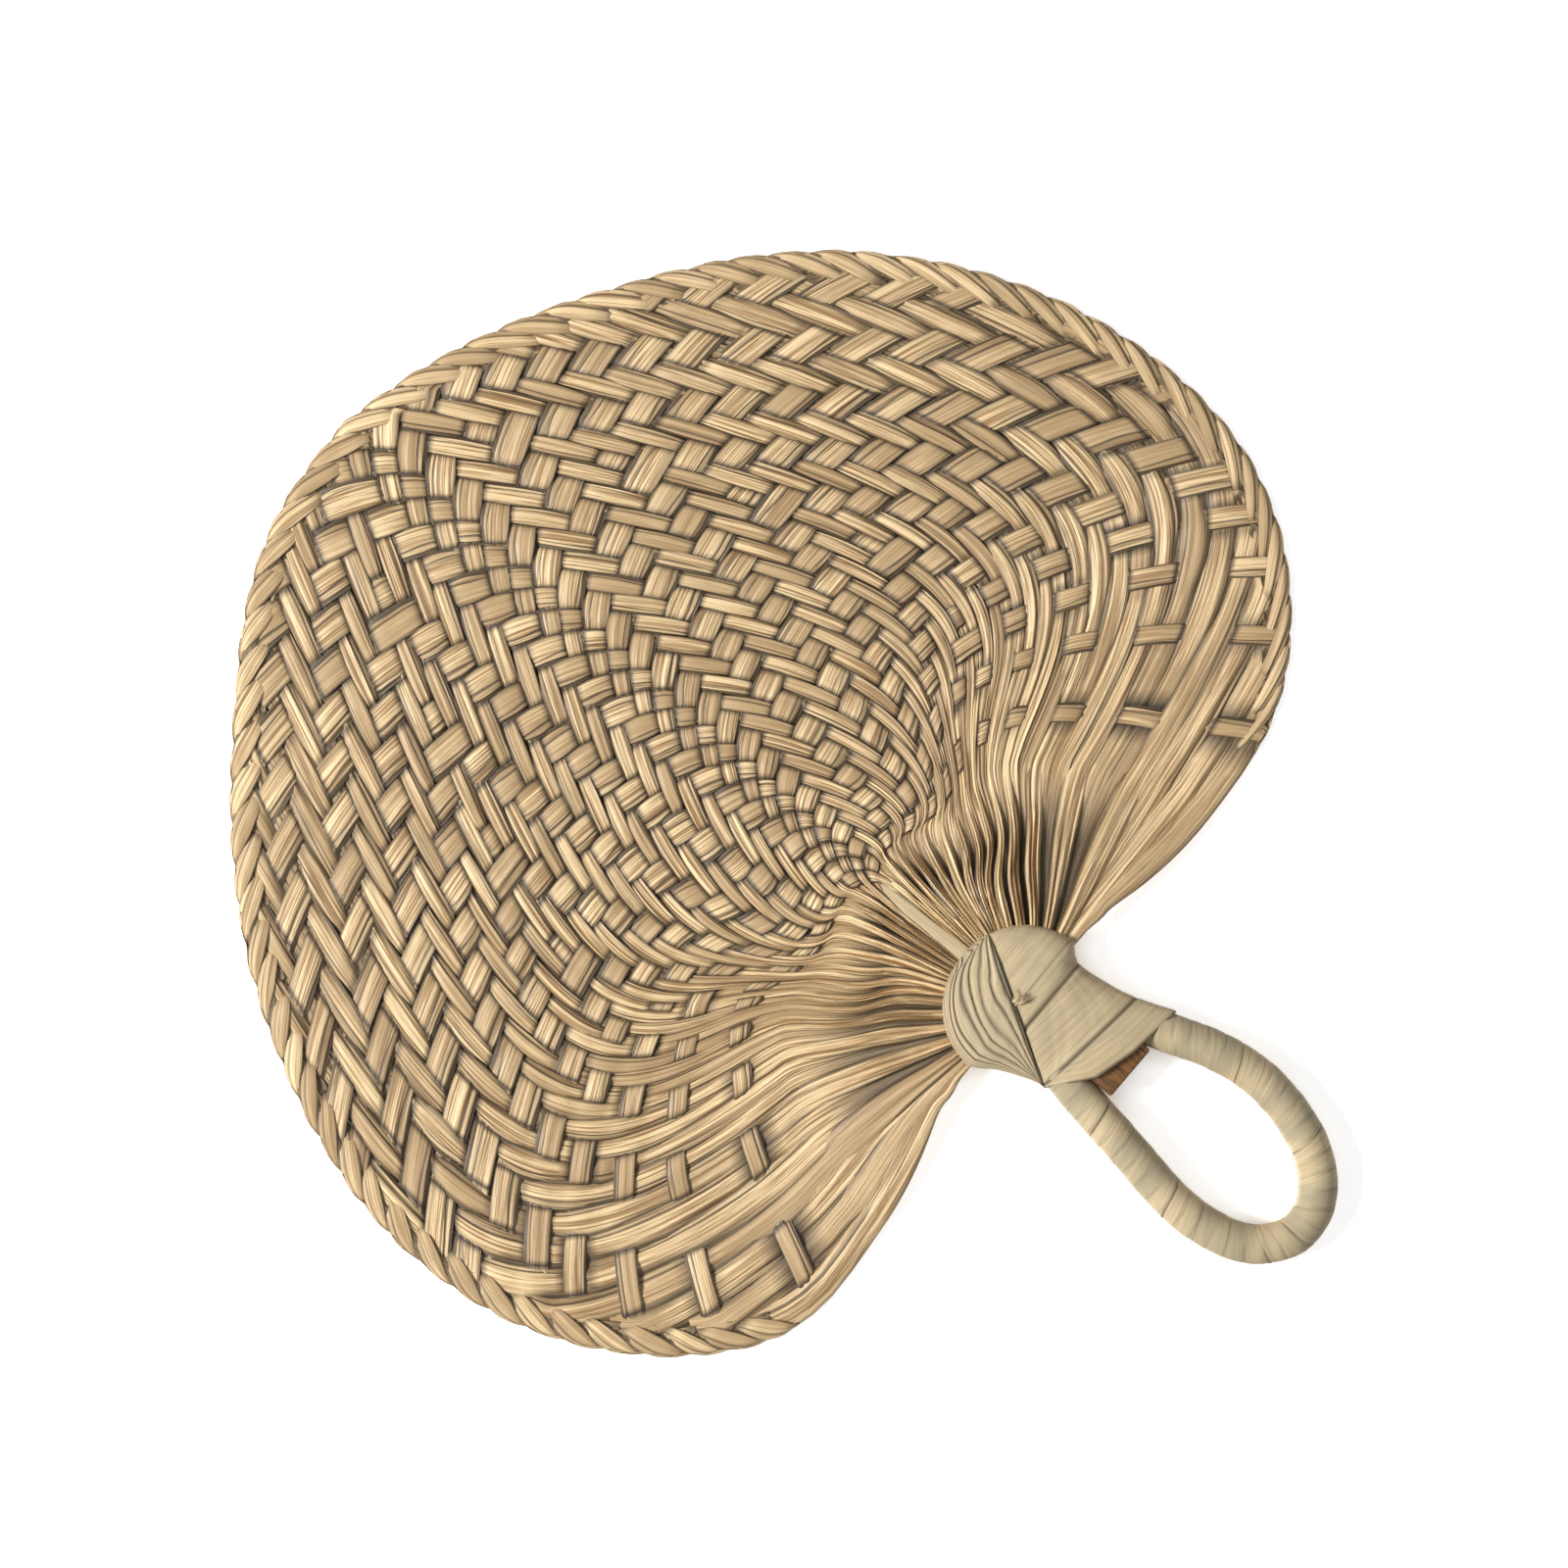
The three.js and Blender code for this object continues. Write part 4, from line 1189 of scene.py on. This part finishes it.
def wrap_sheet(low_seam, high_seam, left_limit, out, seed, patch):
    """A binding that goes round the throat between two seams, with a torn pale patch on its front or none."""
    rows, columns = WRAP_GRID
    share = np.linspace(1, -1, columns)[None, :]
    level = np.linspace(0, 1, rows)[:, None]
    y = np.full(WRAP_GRID, SETTLE_FROM_Y)
    for _ in range(SETTLE_ROUNDS):
        limit = turn_at(y, band_edge_x(y)) if left_limit else math.pi
        turn = share * limit
        x = on_neck(y, turn, out)[..., 0]
        low, high = low_seam(x), high_seam(x)
        y = mix(y, mix(low, high, level), SETTLE_PACE)
    tall = np.maximum(high - low, 0.05)
    edge = np.maximum(lip(level * tall, WRAP_SEAM_LIP), lip((1 - level) * tall, WRAP_SEAM_LIP))
    if left_limit:
        edge = np.maximum(edge, lip(1 - np.abs(share), WRAP_SIDE_LIP))
    wrinkle = wobble(share * 30 + level, seed, waves=0.7, size=0.1)
    wrinkle = wrinkle + wobble(level * 6 + share * 3, seed + 1, waves=1.1, size=0.1)
    torn = patch * (np.sin(turn) > 0) * smooth(x + wobble(y, seed + 2, waves=1.6, size=0.8), *TORN_LEFT)
    torn = torn * (1 - smooth(x + wobble(y, seed + 3, waves=2, size=1), *TORN_RIGHT))
    torn = torn * smooth(level + wobble(x, seed + 4, waves=1.2, size=0.1), *TORN_LOW)
    torn = torn * (1 - smooth(level + wobble(x, seed + 5, waves=1.3, size=0.1), *TORN_HIGH))
    places = on_neck(y, turn, out + wrinkle - WRAP_EDGE_THINS * edge + TORN_RISE * torn)
    marks = {
        "along": share * WRAP_ROUND,
        "across": level * tall,
        "strip": 0.1 * seed,
        "tone": TORN_TONE * torn,
        # Painted shade at the wrap's seams and sides
        "painted_shade": WRAP_EDGE_SHADE * edge,
    }
    return grid_sheet("wrap", places, marks)


def band_sheet():
    """The pleated leaf that crosses the neck."""
    neck = settings().neck
    row_count, columns = BAND_GRID
    rows = np.linspace(BAND_EDGE[0][1] + BAND_GAP, BAND_TOP_Y, row_count)[:, None]
    share = np.linspace(1, 0, columns)[None, :]
    first = turn_at(rows, band_edge_x(rows))
    turn = mix(first, 2 * math.pi - first, share)
    lane = neck.pleats * share + wobble(share * 20, seed=31, waves=0.9, size=0.45)
    along_waves, round_waves = PLEAT_WAVES
    lane = lane + PLEAT_WAVER * np.sin(along_waves * rows + round_waves * share)
    ridge = np.abs(np.sin(math.pi * lane))
    strength = np.random.default_rng(17).uniform(*PLEAT_STRENGTHS, neck.pleats + 2 * PLEAT_SPARES)
    strength = np.interp(lane, np.arange(-PLEAT_SPARES, neck.pleats + PLEAT_SPARES), strength)
    strength = strength * mix(PLEAT_AT_THROAT, 1, smooth(rows, *PLEAT_GROWS))
    edge = lip(np.minimum(share, 1 - share), BAND_SIDE_LIP)
    wrinkle = wobble(rows + 3 * lane, seed=33, waves=0.8, size=0.06)
    pleat = neck.pleat_depth / MM * (ridge**0.5 - 0.5) * strength
    out = BAND_OUT + pleat - BAND_EDGE_THINS * edge + wrinkle
    # Painted shade in the pleats' valleys and at the band's edges
    painted_shade = np.maximum(strength * (1 - smooth(ridge, *PLEAT_SHADE)), WRAP_EDGE_SHADE * edge)
    marks = {"along": rows * 1.15, "across": share * BAND_ROUND, "strip": 0.6, "painted_shade": painted_shade}
    return grid_sheet("band", on_neck(rows, turn, out), marks)


def tuft_fibre(chance):
    """One frayed fibre at the edge of the band."""
    stations, columns = TUFT_GRID
    share = np.linspace(0, 1, stations)[:, None]
    across = np.linspace(-1, 1, columns)[None, :]
    length = chance.uniform(*TUFT_LENGTH)
    turn = chance.uniform(*TUFT_TURN)
    bend = chance.uniform(-TUFT_BEND, TUFT_BEND)
    shift_x, shift_y = (chance.uniform(-spread, spread) for spread in TUFT_SPREAD)
    width = TUFT_HALF_WIDTH * (1 - TUFT_TAPER * share)
    x = TUFT_AT[0] + shift_x + length * share * np.cos(turn + bend * share) - across * width * math.sin(turn)
    y = TUFT_AT[1] + shift_y + length * share * np.sin(turn + bend * share) + across * width * math.cos(turn)
    lift = TUFT_LIFT + TUFT_ARCH * np.sin(math.pi * np.minimum(share, 0.7)) * chance.uniform(*TUFT_ARCHES)
    places = on_neck(y, turn_at(y, x), lift)
    return grid_sheet("fibre", places, {"along": share, "across": across, "strip": 0.1, "tone": -0.3})


class PALMFAN_OT_bind_neck(bpy.types.Operator):
    """Bind the neck with its cap, wraps and pleated band"""

    bl_idname = "palm_fan.bind_neck"
    bl_label = "Bind Neck"

    def execute(self, context):
        material = leaf_material("pale_wrap", settings().neck, roughness=0.75, contrast=0.6)

        def cap_seam(x):
            return np.full_like(x, CAP_SEAM_Y)

        def middle_seam(x):
            return seam_y(MIDDLE_SEAM, x)

        def lower_edge(x):
            return seam_y(LOWER_EDGE, x)

        chance = np.random.default_rng(41)
        sheets = {
            "neck_cap": cap_sheet(),
            "neck_wrap_upper": wrap_sheet(middle_seam, cap_seam, True, UPPER_WRAP_OUT, seed=2, patch=0),
            "neck_wrap_lower": wrap_sheet(lower_edge, middle_seam, False, LOWER_WRAP_OUT, seed=4, patch=1),
            "neck_band": band_sheet(),
        }
        for node, sheet in sheets.items():
            extras = [tuft_fibre(chance) for _ in range(TUFT_FIBRES)] if node == "neck_band" else []
            piece = join("bound_" + node, [sheet, *extras])
            thicken(piece, WRAP_THICKNESS * MM, -1)
            outward(piece)
            dress(piece, material)
            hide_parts(node)
            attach(piece, "handle")
        return {"FINISHED"}


# Loop, rib and wedge


def loop_line():
    """Centre line of the loop with its lengths."""
    far = min(y for _, y in LOOP_ROUTE)
    near = LOOP_ROUTE[0][1]
    points = [
        (x, y, mix(NECK_HEIGHT, LOOP_FAR_HEIGHT, ((near - y) / (near - far)) ** 2)) for x, y in LOOP_ROUTE
    ]
    line = smooth_curve(points)
    return line, run_lengths(line)


def round_loop(length, turn, radius):
    """Point on a tube round the loop's centre line."""
    line, lengths = loop_line()

    def at(where):
        return np.stack([np.interp(where, lengths, line[:, k]) for k in range(3)], -1)

    along = unit(at(length + 1) - at(length - 1))
    across = unit(np.cross((0, 0, 1), along))
    up = np.cross(along, across)
    return at(length) + across * (radius * np.cos(turn))[..., None] + up * (radius * np.sin(turn))[..., None]


class PALMFAN_OT_wrap_loop(bpy.types.Operator):
    """Wind the leaf round the loop handle"""

    bl_idname = "palm_fan.wrap_loop"
    bl_label = "Wrap Loop"

    def execute(self, context):
        handle = settings().handle
        line, lengths = loop_line()
        bottom = int(np.argmin(line[:, 1]))
        first = np.interp(-LOOP_FIRST_Y, -line[:bottom, 1], lengths[:bottom])
        last = np.interp(LOOP_LAST_Y, line[bottom:, 1], lengths[bottom:])
        pitch = (last - first) / (LOOP_TURNS + 1)
        steps = np.arange(LOOP_TURNS * LOOP_TURN_STEPS + 1)[:, None] / LOOP_TURN_STEPS
        across = np.linspace(-1, 1, LOOP_COLUMNS)[None, :]
        ragged = 1 + wobble(steps, seed=8, waves=2.3, size=0.05)
        length = first + pitch * (steps + 0.5 + LOOP_HALF_WIDTH * across * ragged)
        turn = np.broadcast_to(2 * math.pi * steps, length.shape)
        overlap = handle.wrap_step / MM * (1 - across) / 2
        dip = overlap + LOOP_EDGE_DIP * smooth(np.abs(across), LOOP_EDGE_START, 1)
        uneven = wobble(length + 2 * turn, seed=9, waves=0.35, size=0.09)
        uneven = uneven + wobble(turn + 0.2 * length, seed=10, waves=1, size=0.09)
        pucker = smooth(wobble(length + np.sin(turn), seed=22, waves=1.3, size=1), *PUCKER_FORMS)
        pucker = pucker * smooth(np.cos(turn - PUCKER_TURN), *PUCKER_SPREAD)
        radius = handle.radius / MM - dip + uneven - PUCKER_DEPTH * pucker
        shown = smooth(wobble(turn, seed=21, waves=0.31, size=1), *LOOP_SEAM_SHOWS)
        # Painted shade along the seams, where a turn's edge dips under the next
        seam_shade = smooth(np.abs(across), LOOP_SEAM_START, 1) * shown
        marks = {
            "along": 2 * math.pi * handle.radius / MM * steps,
            "across": across * pitch / 2,
            "strip": 0.2,
            "tone": LOOP_TONE + wobble(length + 3 * np.sin(turn), seed=23, waves=0.21, size=0.4),
            "painted_shade": np.maximum(PUCKER_SHADE * pucker, seam_shade),
        }
        piece = join("wound_loop", [grid_sheet("spiral", round_loop(length, turn, radius), marks)])
        thicken(piece, LOOP_LEAF * MM, 0)
        outward(piece)
        dress(piece, bpy.data.materials["pale_wrap"])
        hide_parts("loop_spiral")
        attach(piece, "handle")
        return {"FINISHED"}


class PALMFAN_OT_roll_rib(bpy.types.Operator):
    """Roll the pale leaf stem between the neck and the weave"""

    bl_idname = "palm_fan.roll_rib"
    bl_label = "Roll Rib"

    def execute(self, context):
        row_count, columns = RIB_GRID
        rows = np.linspace(RIB_FOOT_Y - RIB_ROOT, RIB_TOP_Y, row_count)[:, None]
        turn = math.pi * np.linspace(*RIB_ROLL, columns)[None, :]
        share = (rows - rows[0]) / (rows[-1] - rows[0])
        half = mix(RIB_FOOT_HALF, RIB_TOP_HALF, share) + wobble(rows, seed=12, waves=0.2, size=0.1)
        radius = half * (1 - RIB_CLOSING * turn / math.pi)
        x = radius * np.cos(turn) - RIB_LEAN * share
        middle = blade_height(0, rows) - RIB_DIVE * smooth(share, *RIB_DIVES)
        height = middle + RIB_FLATNESS * radius * np.sin(turn)
        places = np.stack(np.broadcast_arrays(x, rows, height), -1)
        # Painted shade where the rib dives under the weave
        painted_shade = RIB_SHADE * smooth(share, *RIB_DARKENS)
        marks = {"along": rows, "across": turn * 3, "strip": 0.25, "painted_shade": painted_shade}
        piece = join("rolled_rib", [grid_sheet("roll", places, marks)])
        thicken(piece, RIB_LEAF * MM, 0)
        outward(piece)
        dress(piece, bpy.data.materials["pale_wrap"])
        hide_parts("rib")
        bend_with_blade(piece)
        return {"FINISHED"}


class PALMFAN_OT_cut_wedge(bpy.types.Operator):
    """Cut the wooden wedge between the legs of the loop"""

    bl_idname = "palm_fan.cut_wedge"
    bl_label = "Cut Wedge"

    def execute(self, context):
        low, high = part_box("wedge")
        bpy.ops.object.select_all(action="DESELECT")
        bpy.ops.mesh.primitive_cube_add(size=1, location=(low + high) / 2)
        piece = bpy.context.object
        piece.name = "cut_wedge"
        piece.scale = high - low
        bpy.ops.object.transform_apply(location=True, rotation=False, scale=True)
        bevel = piece.modifiers.new("Worn edges", "BEVEL")
        bevel.width = WEDGE_BEVEL * MM
        bevel.segments = WEDGE_BEVEL_STEPS
        bpy.ops.object.modifier_apply(modifier=bevel.name)
        bpy.ops.object.shade_smooth_by_angle(angle=math.radians(WOOD_SMOOTHING))
        dress(piece, wood_material("wedge_wood", settings().handle.wedge))
        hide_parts("wedge")
        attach(piece, "handle")
        return {"FINISHED"}


class PALMFAN_OT_finish_cores(bpy.types.Operator):
    """Give the hidden stems of the neck and the loop their finish"""

    bl_idname = "palm_fan.finish_cores"
    bl_label = "Finish Cores"

    def execute(self, context):
        material = wood_material("bundled_stems", srgb(*CORE_COLOUR))
        for node in ("neck_core", "loop_core"):
            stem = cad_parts[node]
            stem.data.materials.clear()
            stem.data.materials.append(material)
        return {"FINISHED"}


# Materials


def node_of(tree, kind, **values):
    """A new node with some of its own values set."""
    node = tree.nodes.new(kind)
    for name, value in values.items():
        setattr(node, name, value)
    return node


def math_node(tree, operation, first, second):
    """A sum, product or other operation on two sockets or numbers."""
    node = node_of(tree, "ShaderNodeMath", operation=operation)
    for socket, value in zip(node.inputs, (first, second)):
        if isinstance(value, (int, float)):
            socket.default_value = value
        else:
            tree.links.new(value, socket)
    return node.outputs[0]


def range_node(tree, value, low, high, to_low, to_high):
    """Maps a value from one range to another, without going past its ends."""
    node = node_of(tree, "ShaderNodeMapRange", interpolation_type="SMOOTHSTEP")
    tree.links.new(value, node.inputs["Value"])
    for name, number in (("From Min", low), ("From Max", high), ("To Min", to_low), ("To Max", to_high)):
        node.inputs[name].default_value = number
    return node.outputs["Result"]


def mix_node(tree, factor, first, second):
    """Mixes two colours, each a socket or a colour."""
    node = node_of(tree, "ShaderNodeMix", data_type="RGBA")
    tree.links.new(factor, node.inputs[0])
    # Inputs 6 and 7 and output 2 are the ones for colours
    for socket, value in ((node.inputs[6], first), (node.inputs[7], second)):
        if isinstance(value, bpy.types.NodeSocket):
            tree.links.new(value, socket)
        else:
            socket.default_value = (*value, 1)
    return node.outputs[2]


def noise_node(tree, vector, scale, detail, roughness):
    node = node_of(tree, "ShaderNodeTexNoise")
    node.inputs["Scale"].default_value = scale
    node.inputs["Detail"].default_value = detail
    node.inputs["Roughness"].default_value = roughness
    tree.links.new(vector, node.inputs["Vector"])
    return node.outputs["Fac"]


def combine(tree, x, y, z):
    node = node_of(tree, "ShaderNodeCombineXYZ")
    for socket, value in zip(node.inputs, (x, y, z)):
        tree.links.new(value, socket)
    return node.outputs[0]


def new_material(name):
    """A material with its node tree and its shader."""
    material = bpy.data.materials.new(name)
    material.use_nodes = True
    return material, material.node_tree, material.node_tree.nodes["Principled BSDF"]


def add_relief(tree, shader, height, strength, depth):
    """Raises the surface where a socket is high, with a depth in millimetres."""
    bump = node_of(tree, "ShaderNodeBump")
    bump.inputs["Strength"].default_value = strength
    bump.inputs["Distance"].default_value = depth * MM
    tree.links.new(height, bump.inputs["Height"])
    tree.links.new(bump.outputs["Normal"], shader.inputs["Normal"])


def fibre_group():
    """Fine fibres, broad veins and blotches that run along a strip."""
    name = "leaf_fibres"
    if name in bpy.data.node_groups:
        return bpy.data.node_groups[name]
    group = bpy.data.node_groups.new(name, "ShaderNodeTree")
    for socket in FIBRE_INPUTS:
        group.interface.new_socket(socket, in_out="INPUT", socket_type="NodeSocketFloat")
    for layer in FIBRE_LAYERS:
        group.interface.new_socket(layer, in_out="OUTPUT", socket_type="NodeSocketFloat")
    source = node_of(group, "NodeGroupInput")
    target = node_of(group, "NodeGroupOutput")
    along, across, strip = (source.outputs[socket] for socket in FIBRE_INPUTS)
    seed = math_node(group, "MULTIPLY", strip, STRIP_SEED)
    for layer, (cells_across, cells_along, detail, roughness) in FIBRE_LAYERS.items():
        x = math_node(group, "MULTIPLY", across, cells_across)
        y = math_node(group, "MULTIPLY", along, cells_along)
        field = noise_node(group, combine(group, x, y, seed), scale=1, detail=detail, roughness=roughness)
        group.links.new(field, target.inputs[layer])
    return group


def mark_node(tree, name):
    return node_of(tree, "ShaderNodeAttribute", attribute_name=name).outputs["Fac"]


def leaf_material(name, colours, roughness, contrast):
    """Dried leaf: bright fibres, darker veins, strips of different age, painted shade in the folds and gaps.
    """
    material, tree, shader = new_material(name)
    fibres = node_of(tree, "ShaderNodeGroup", node_tree=fibre_group())
    for socket in FIBRE_INPUTS:
        tree.links.new(mark_node(tree, socket.lower()), fibres.inputs[socket])
    fibre, vein, blotch = (fibres.outputs[layer] for layer in FIBRE_LAYERS)
    # The painted shade is made for the upper face, so the underside takes only part of it
    facing = node_of(tree, "ShaderNodeSeparateXYZ")
    tree.links.new(node_of(tree, "ShaderNodeTexCoord").outputs["Normal"], facing.inputs["Vector"])
    upper = range_node(tree, facing.outputs["Z"], -UNDERSIDE_TURN, UNDERSIDE_TURN, UNDERSIDE_SHADE, 1)
    shade_paint = math_node(tree, "MULTIPLY", mark_node(tree, "painted_shade"), upper)
    pale, dark, stain = (tuple(colour) for colour in (colours.pale, colours.dark, colours.stain))

    fibrous = range_node(tree, fibre, *FIBRE_DARKENS, 0, FIBRE_DEPTH * contrast)
    veined = range_node(tree, vein, *VEIN_DARKENS, 0, VEIN_DEPTH * contrast)
    age = math_node(tree, "MULTIPLY", mark_node(tree, "strip"), STRIP_AGE)
    age = math_node(tree, "ADD", age, mark_node(tree, "tone"))
    age = math_node(tree, "ADD", age, math_node(tree, "MULTIPLY", blotch, BLOTCH_AGE))
    stained = range_node(tree, age, *AGE_STAINS, 0, STAIN_DEPTH)
    shade_share = math_node(tree, "MULTIPLY", shade_paint, SHADE_DEPTH)
    shade_colour = tuple(SHADE_TONE * value for value in dark)
    colour = mix_node(tree, fibrous, pale, dark)
    for share, next_colour in ((veined, dark), (stained, stain), (shade_share, shade_colour)):
        colour = mix_node(tree, share, colour, next_colour)
    tree.links.new(colour, shader.inputs["Base Color"])
    rough = range_node(tree, fibre, *FIBRE_GLOSSES, roughness + GLOSS_CHANGE, roughness - GLOSS_CHANGE)
    tree.links.new(rough, shader.inputs["Roughness"])
    shader.inputs["Specular IOR Level"].default_value = LEAF_SPECULAR
    ribs = math_node(tree, "ADD", fibre, math_node(tree, "MULTIPLY", vein, VEIN_RELIEF))
    add_relief(tree, shader, ribs, LEAF_RELIEF * contrast, LEAF_RELIEF_DEPTH)
    return material


def wood_material(name, colour):
    """Plain stalk wood with grain along the fan."""
    material, tree, shader = new_material(name)
    place = node_of(tree, "ShaderNodeTexCoord")
    stretch = node_of(tree, "ShaderNodeMapping")
    stretch.inputs["Scale"].default_value = GRAIN_CELLS
    tree.links.new(place.outputs["Object"], stretch.inputs["Vector"])
    grain = noise_node(tree, stretch.outputs["Vector"], scale=1, detail=4, roughness=0.6)
    dark, pale = (tuple(min(1, tone * value) for value in colour) for tone in GRAIN_TONES)
    grained = mix_node(tree, range_node(tree, grain, *GRAIN_PALES, 0, 1), dark, pale)
    tree.links.new(grained, shader.inputs["Base Color"])
    rough = range_node(tree, grain, *GRAIN_GLOSSES, *GRAIN_ROUGHNESS)
    tree.links.new(rough, shader.inputs["Roughness"])
    add_relief(tree, shader, grain, GRAIN_RELIEF, GRAIN_RELIEF_DEPTH)
    return material


def looked_at(tree):
    """One for the rays that show a background, straight on or in a gloss, and zero for the light itself."""
    ray = node_of(tree, "ShaderNodeLightPath")
    seen = math_node(tree, "MAXIMUM", ray.outputs["Is Camera Ray"], ray.outputs["Is Glossy Ray"])
    return math_node(tree, "MAXIMUM", seen, ray.outputs["Is Transmission Ray"])


def room_node(tree, distance, below):
    """How free the floor is of anything within a distance above or below it, from 0 to 1."""
    node = node_of(tree, "ShaderNodeAmbientOcclusion", inside=below, samples=FLOOR_SAMPLES)
    node.inputs["Distance"].default_value = distance
    return node.outputs["AO"]


def floor_material():
    """Pale floor that looks white to the camera, keeps the shadow and has a painted shadow under the fan."""
    material, tree, shader = new_material("pale_floor")
    shader.inputs["Base Color"].default_value = (FLOOR_GREY, FLOOR_GREY, FLOOR_GREY, 1)
    shader.inputs["Roughness"].default_value = FLOOR_ROUGHNESS
    shader.inputs["Specular IOR Level"].default_value = 0
    shader.inputs["Emission Color"].default_value = (1, 1, 1, 1)
    # Painted shadow: under and close round the fan the floor's glow fades, so the floor stays dark, also
    # where it shows between the strips
    unshadowed = range_node(tree, room_node(tree, FLOOR_SHADOW_REACH, False), *FLOOR_SHADOW_FADES, 0, 1)
    glow = math_node(tree, "MULTIPLY", looked_at(tree), settings().stage.floor_glow)
    glow = math_node(tree, "MULTIPLY", glow, unshadowed)
    tree.links.new(glow, shader.inputs["Emission Strength"])
    # The floor is clear from below, over a blade that is bent down past it, and to the lamp under it
    side = node_of(tree, "ShaderNodeNewGeometry")
    ray = node_of(tree, "ShaderNodeLightPath")
    dipped = range_node(tree, room_node(tree, FLOOR_CLEARS, True), 1 - FLOOR_EDGE, 1, 1, 0)
    open_floor = math_node(tree, "MAXIMUM", side.outputs["Backfacing"], dipped)
    open_floor = math_node(tree, "MAXIMUM", open_floor, ray.outputs["Is Shadow Ray"])
    clear = node_of(tree, "ShaderNodeBsdfTransparent")
    either = node_of(tree, "ShaderNodeMixShader")
    tree.links.new(open_floor, either.inputs["Fac"])
    tree.links.new(shader.outputs["BSDF"], either.inputs[1])
    tree.links.new(clear.outputs["BSDF"], either.inputs[2])
    tree.links.new(either.outputs["Shader"], tree.nodes["Material Output"].inputs["Surface"])
    return material


# Stage


def add_lamp(name, place, aim, size, power):
    """A square lamp turned to a point."""
    bpy.ops.object.light_add(type="AREA", location=place)
    lamp = bpy.context.object
    lamp.name = name
    lamp.rotation_euler = (aim - place).to_track_quat("-Z", "Y").to_euler()
    lamp.data.size = size
    lamp.data.energy = power


def white_world(sky):
    """A world that looks white and gives only as much light as the sky setting says."""
    world = bpy.data.worlds.new("studio")
    world.use_nodes = True
    tree = world.node_tree
    background = tree.nodes["Background"]
    background.inputs["Color"].default_value = (1, 1, 1, 1)
    tree.links.new(range_node(tree, looked_at(tree), 0, 1, sky, 1), background.inputs["Strength"])
    return world


class PALMFAN_OT_set_stage(bpy.types.Operator):
    """Set the floor, the lamps and the camera of the photograph"""

    bl_idname = "palm_fan.set_stage"
    bl_label = "Set Stage"

    def execute(self, context):
        stage = settings().stage
        scene = context.scene
        scene.view_settings.view_transform = "Standard"
        bpy.ops.object.select_all(action="DESELECT")
        bpy.ops.mesh.primitive_plane_add(size=FLOOR_SIZE)
        floor = context.object
        floor.name = "floor"
        floor.data.materials.append(floor_material())
        middle = Vector(to_frame((*PHOTO_CENTRE, 0)))
        # The floor lets the under lamp through, for a look at the underside
        lamps = {
            "key_lamp": (*KEY_LAMP, stage.key_power),
            "fill_lamp": (*FILL_LAMP, stage.fill_power),
            "under_lamp": (*UNDER_LAMP, stage.under_power),
        }
        for name, (place, size, power) in lamps.items():
            add_lamp(name, middle + Vector(place), middle, size, power)
        scene.world = white_world(stage.sky)
        bpy.ops.object.camera_add()
        camera = context.object
        camera.name = "photo_camera"
        camera.data.lens = LENS
        camera.data.sensor_width = SENSOR
        away = PHOTO_WIDTH * MM * LENS / SENSOR
        right, up = Vector(PHOTO_RIGHT).normalized(), Vector(PHOTO_UP).normalized()
        turn = Matrix((right, up, right.cross(up))).transposed().to_4x4()
        camera.matrix_world = Matrix.Translation(middle + Vector((0, 0, away))) @ turn
        scene.camera = camera
        return {"FINISHED"}


class PALMFAN_PT_panel(bpy.types.Panel):
    """Lists the steps of making the fan"""

    bl_idname = "PALMFAN_PT_panel"
    bl_label = "Palm Fan"
    bl_space_type = "VIEW_3D"
    bl_region_type = "UI"
    bl_category = "Palm Fan"

    def draw(self, context):
        for operator in OPERATORS:
            self.layout.operator(operator.bl_idname)
        for group in (settings().leaf, settings().rim, settings().neck, settings().handle, settings().stage):
            box = self.layout.box()
            for name in group.bl_rna.properties.keys():
                if name not in ("rna_type", "name"):
                    box.prop(group, name)


SETTING_GROUPS = (LeafSettings, RimSettings, NeckSettings, HandleSettings, StageSettings, FanSettings)
OPERATORS = (
    PALMFAN_OT_weave_leaves,
    PALMFAN_OT_plait_rim,
    PALMFAN_OT_bind_neck,
    PALMFAN_OT_wrap_loop,
    PALMFAN_OT_roll_rib,
    PALMFAN_OT_cut_wedge,
    PALMFAN_OT_finish_cores,
    PALMFAN_OT_set_stage,
)
CLASSES = (*SETTING_GROUPS, *OPERATORS, PALMFAN_PT_panel)


def register():
    for cls in CLASSES:
        bpy.utils.register_class(cls)
    bpy.types.Scene.palm_fan = PointerProperty(type=FanSettings)


def unregister():
    del bpy.types.Scene.palm_fan
    for cls in reversed(CLASSES):
        bpy.utils.unregister_class(cls)


def main():
    register()
    bpy.ops.palm_fan.weave_leaves()
    bpy.ops.palm_fan.plait_rim()
    bpy.ops.palm_fan.bind_neck()
    bpy.ops.palm_fan.wrap_loop()
    bpy.ops.palm_fan.roll_rib()
    bpy.ops.palm_fan.cut_wedge()
    bpy.ops.palm_fan.finish_cores()
    bpy.ops.palm_fan.set_stage()


if __name__ == "__main__":
    main()
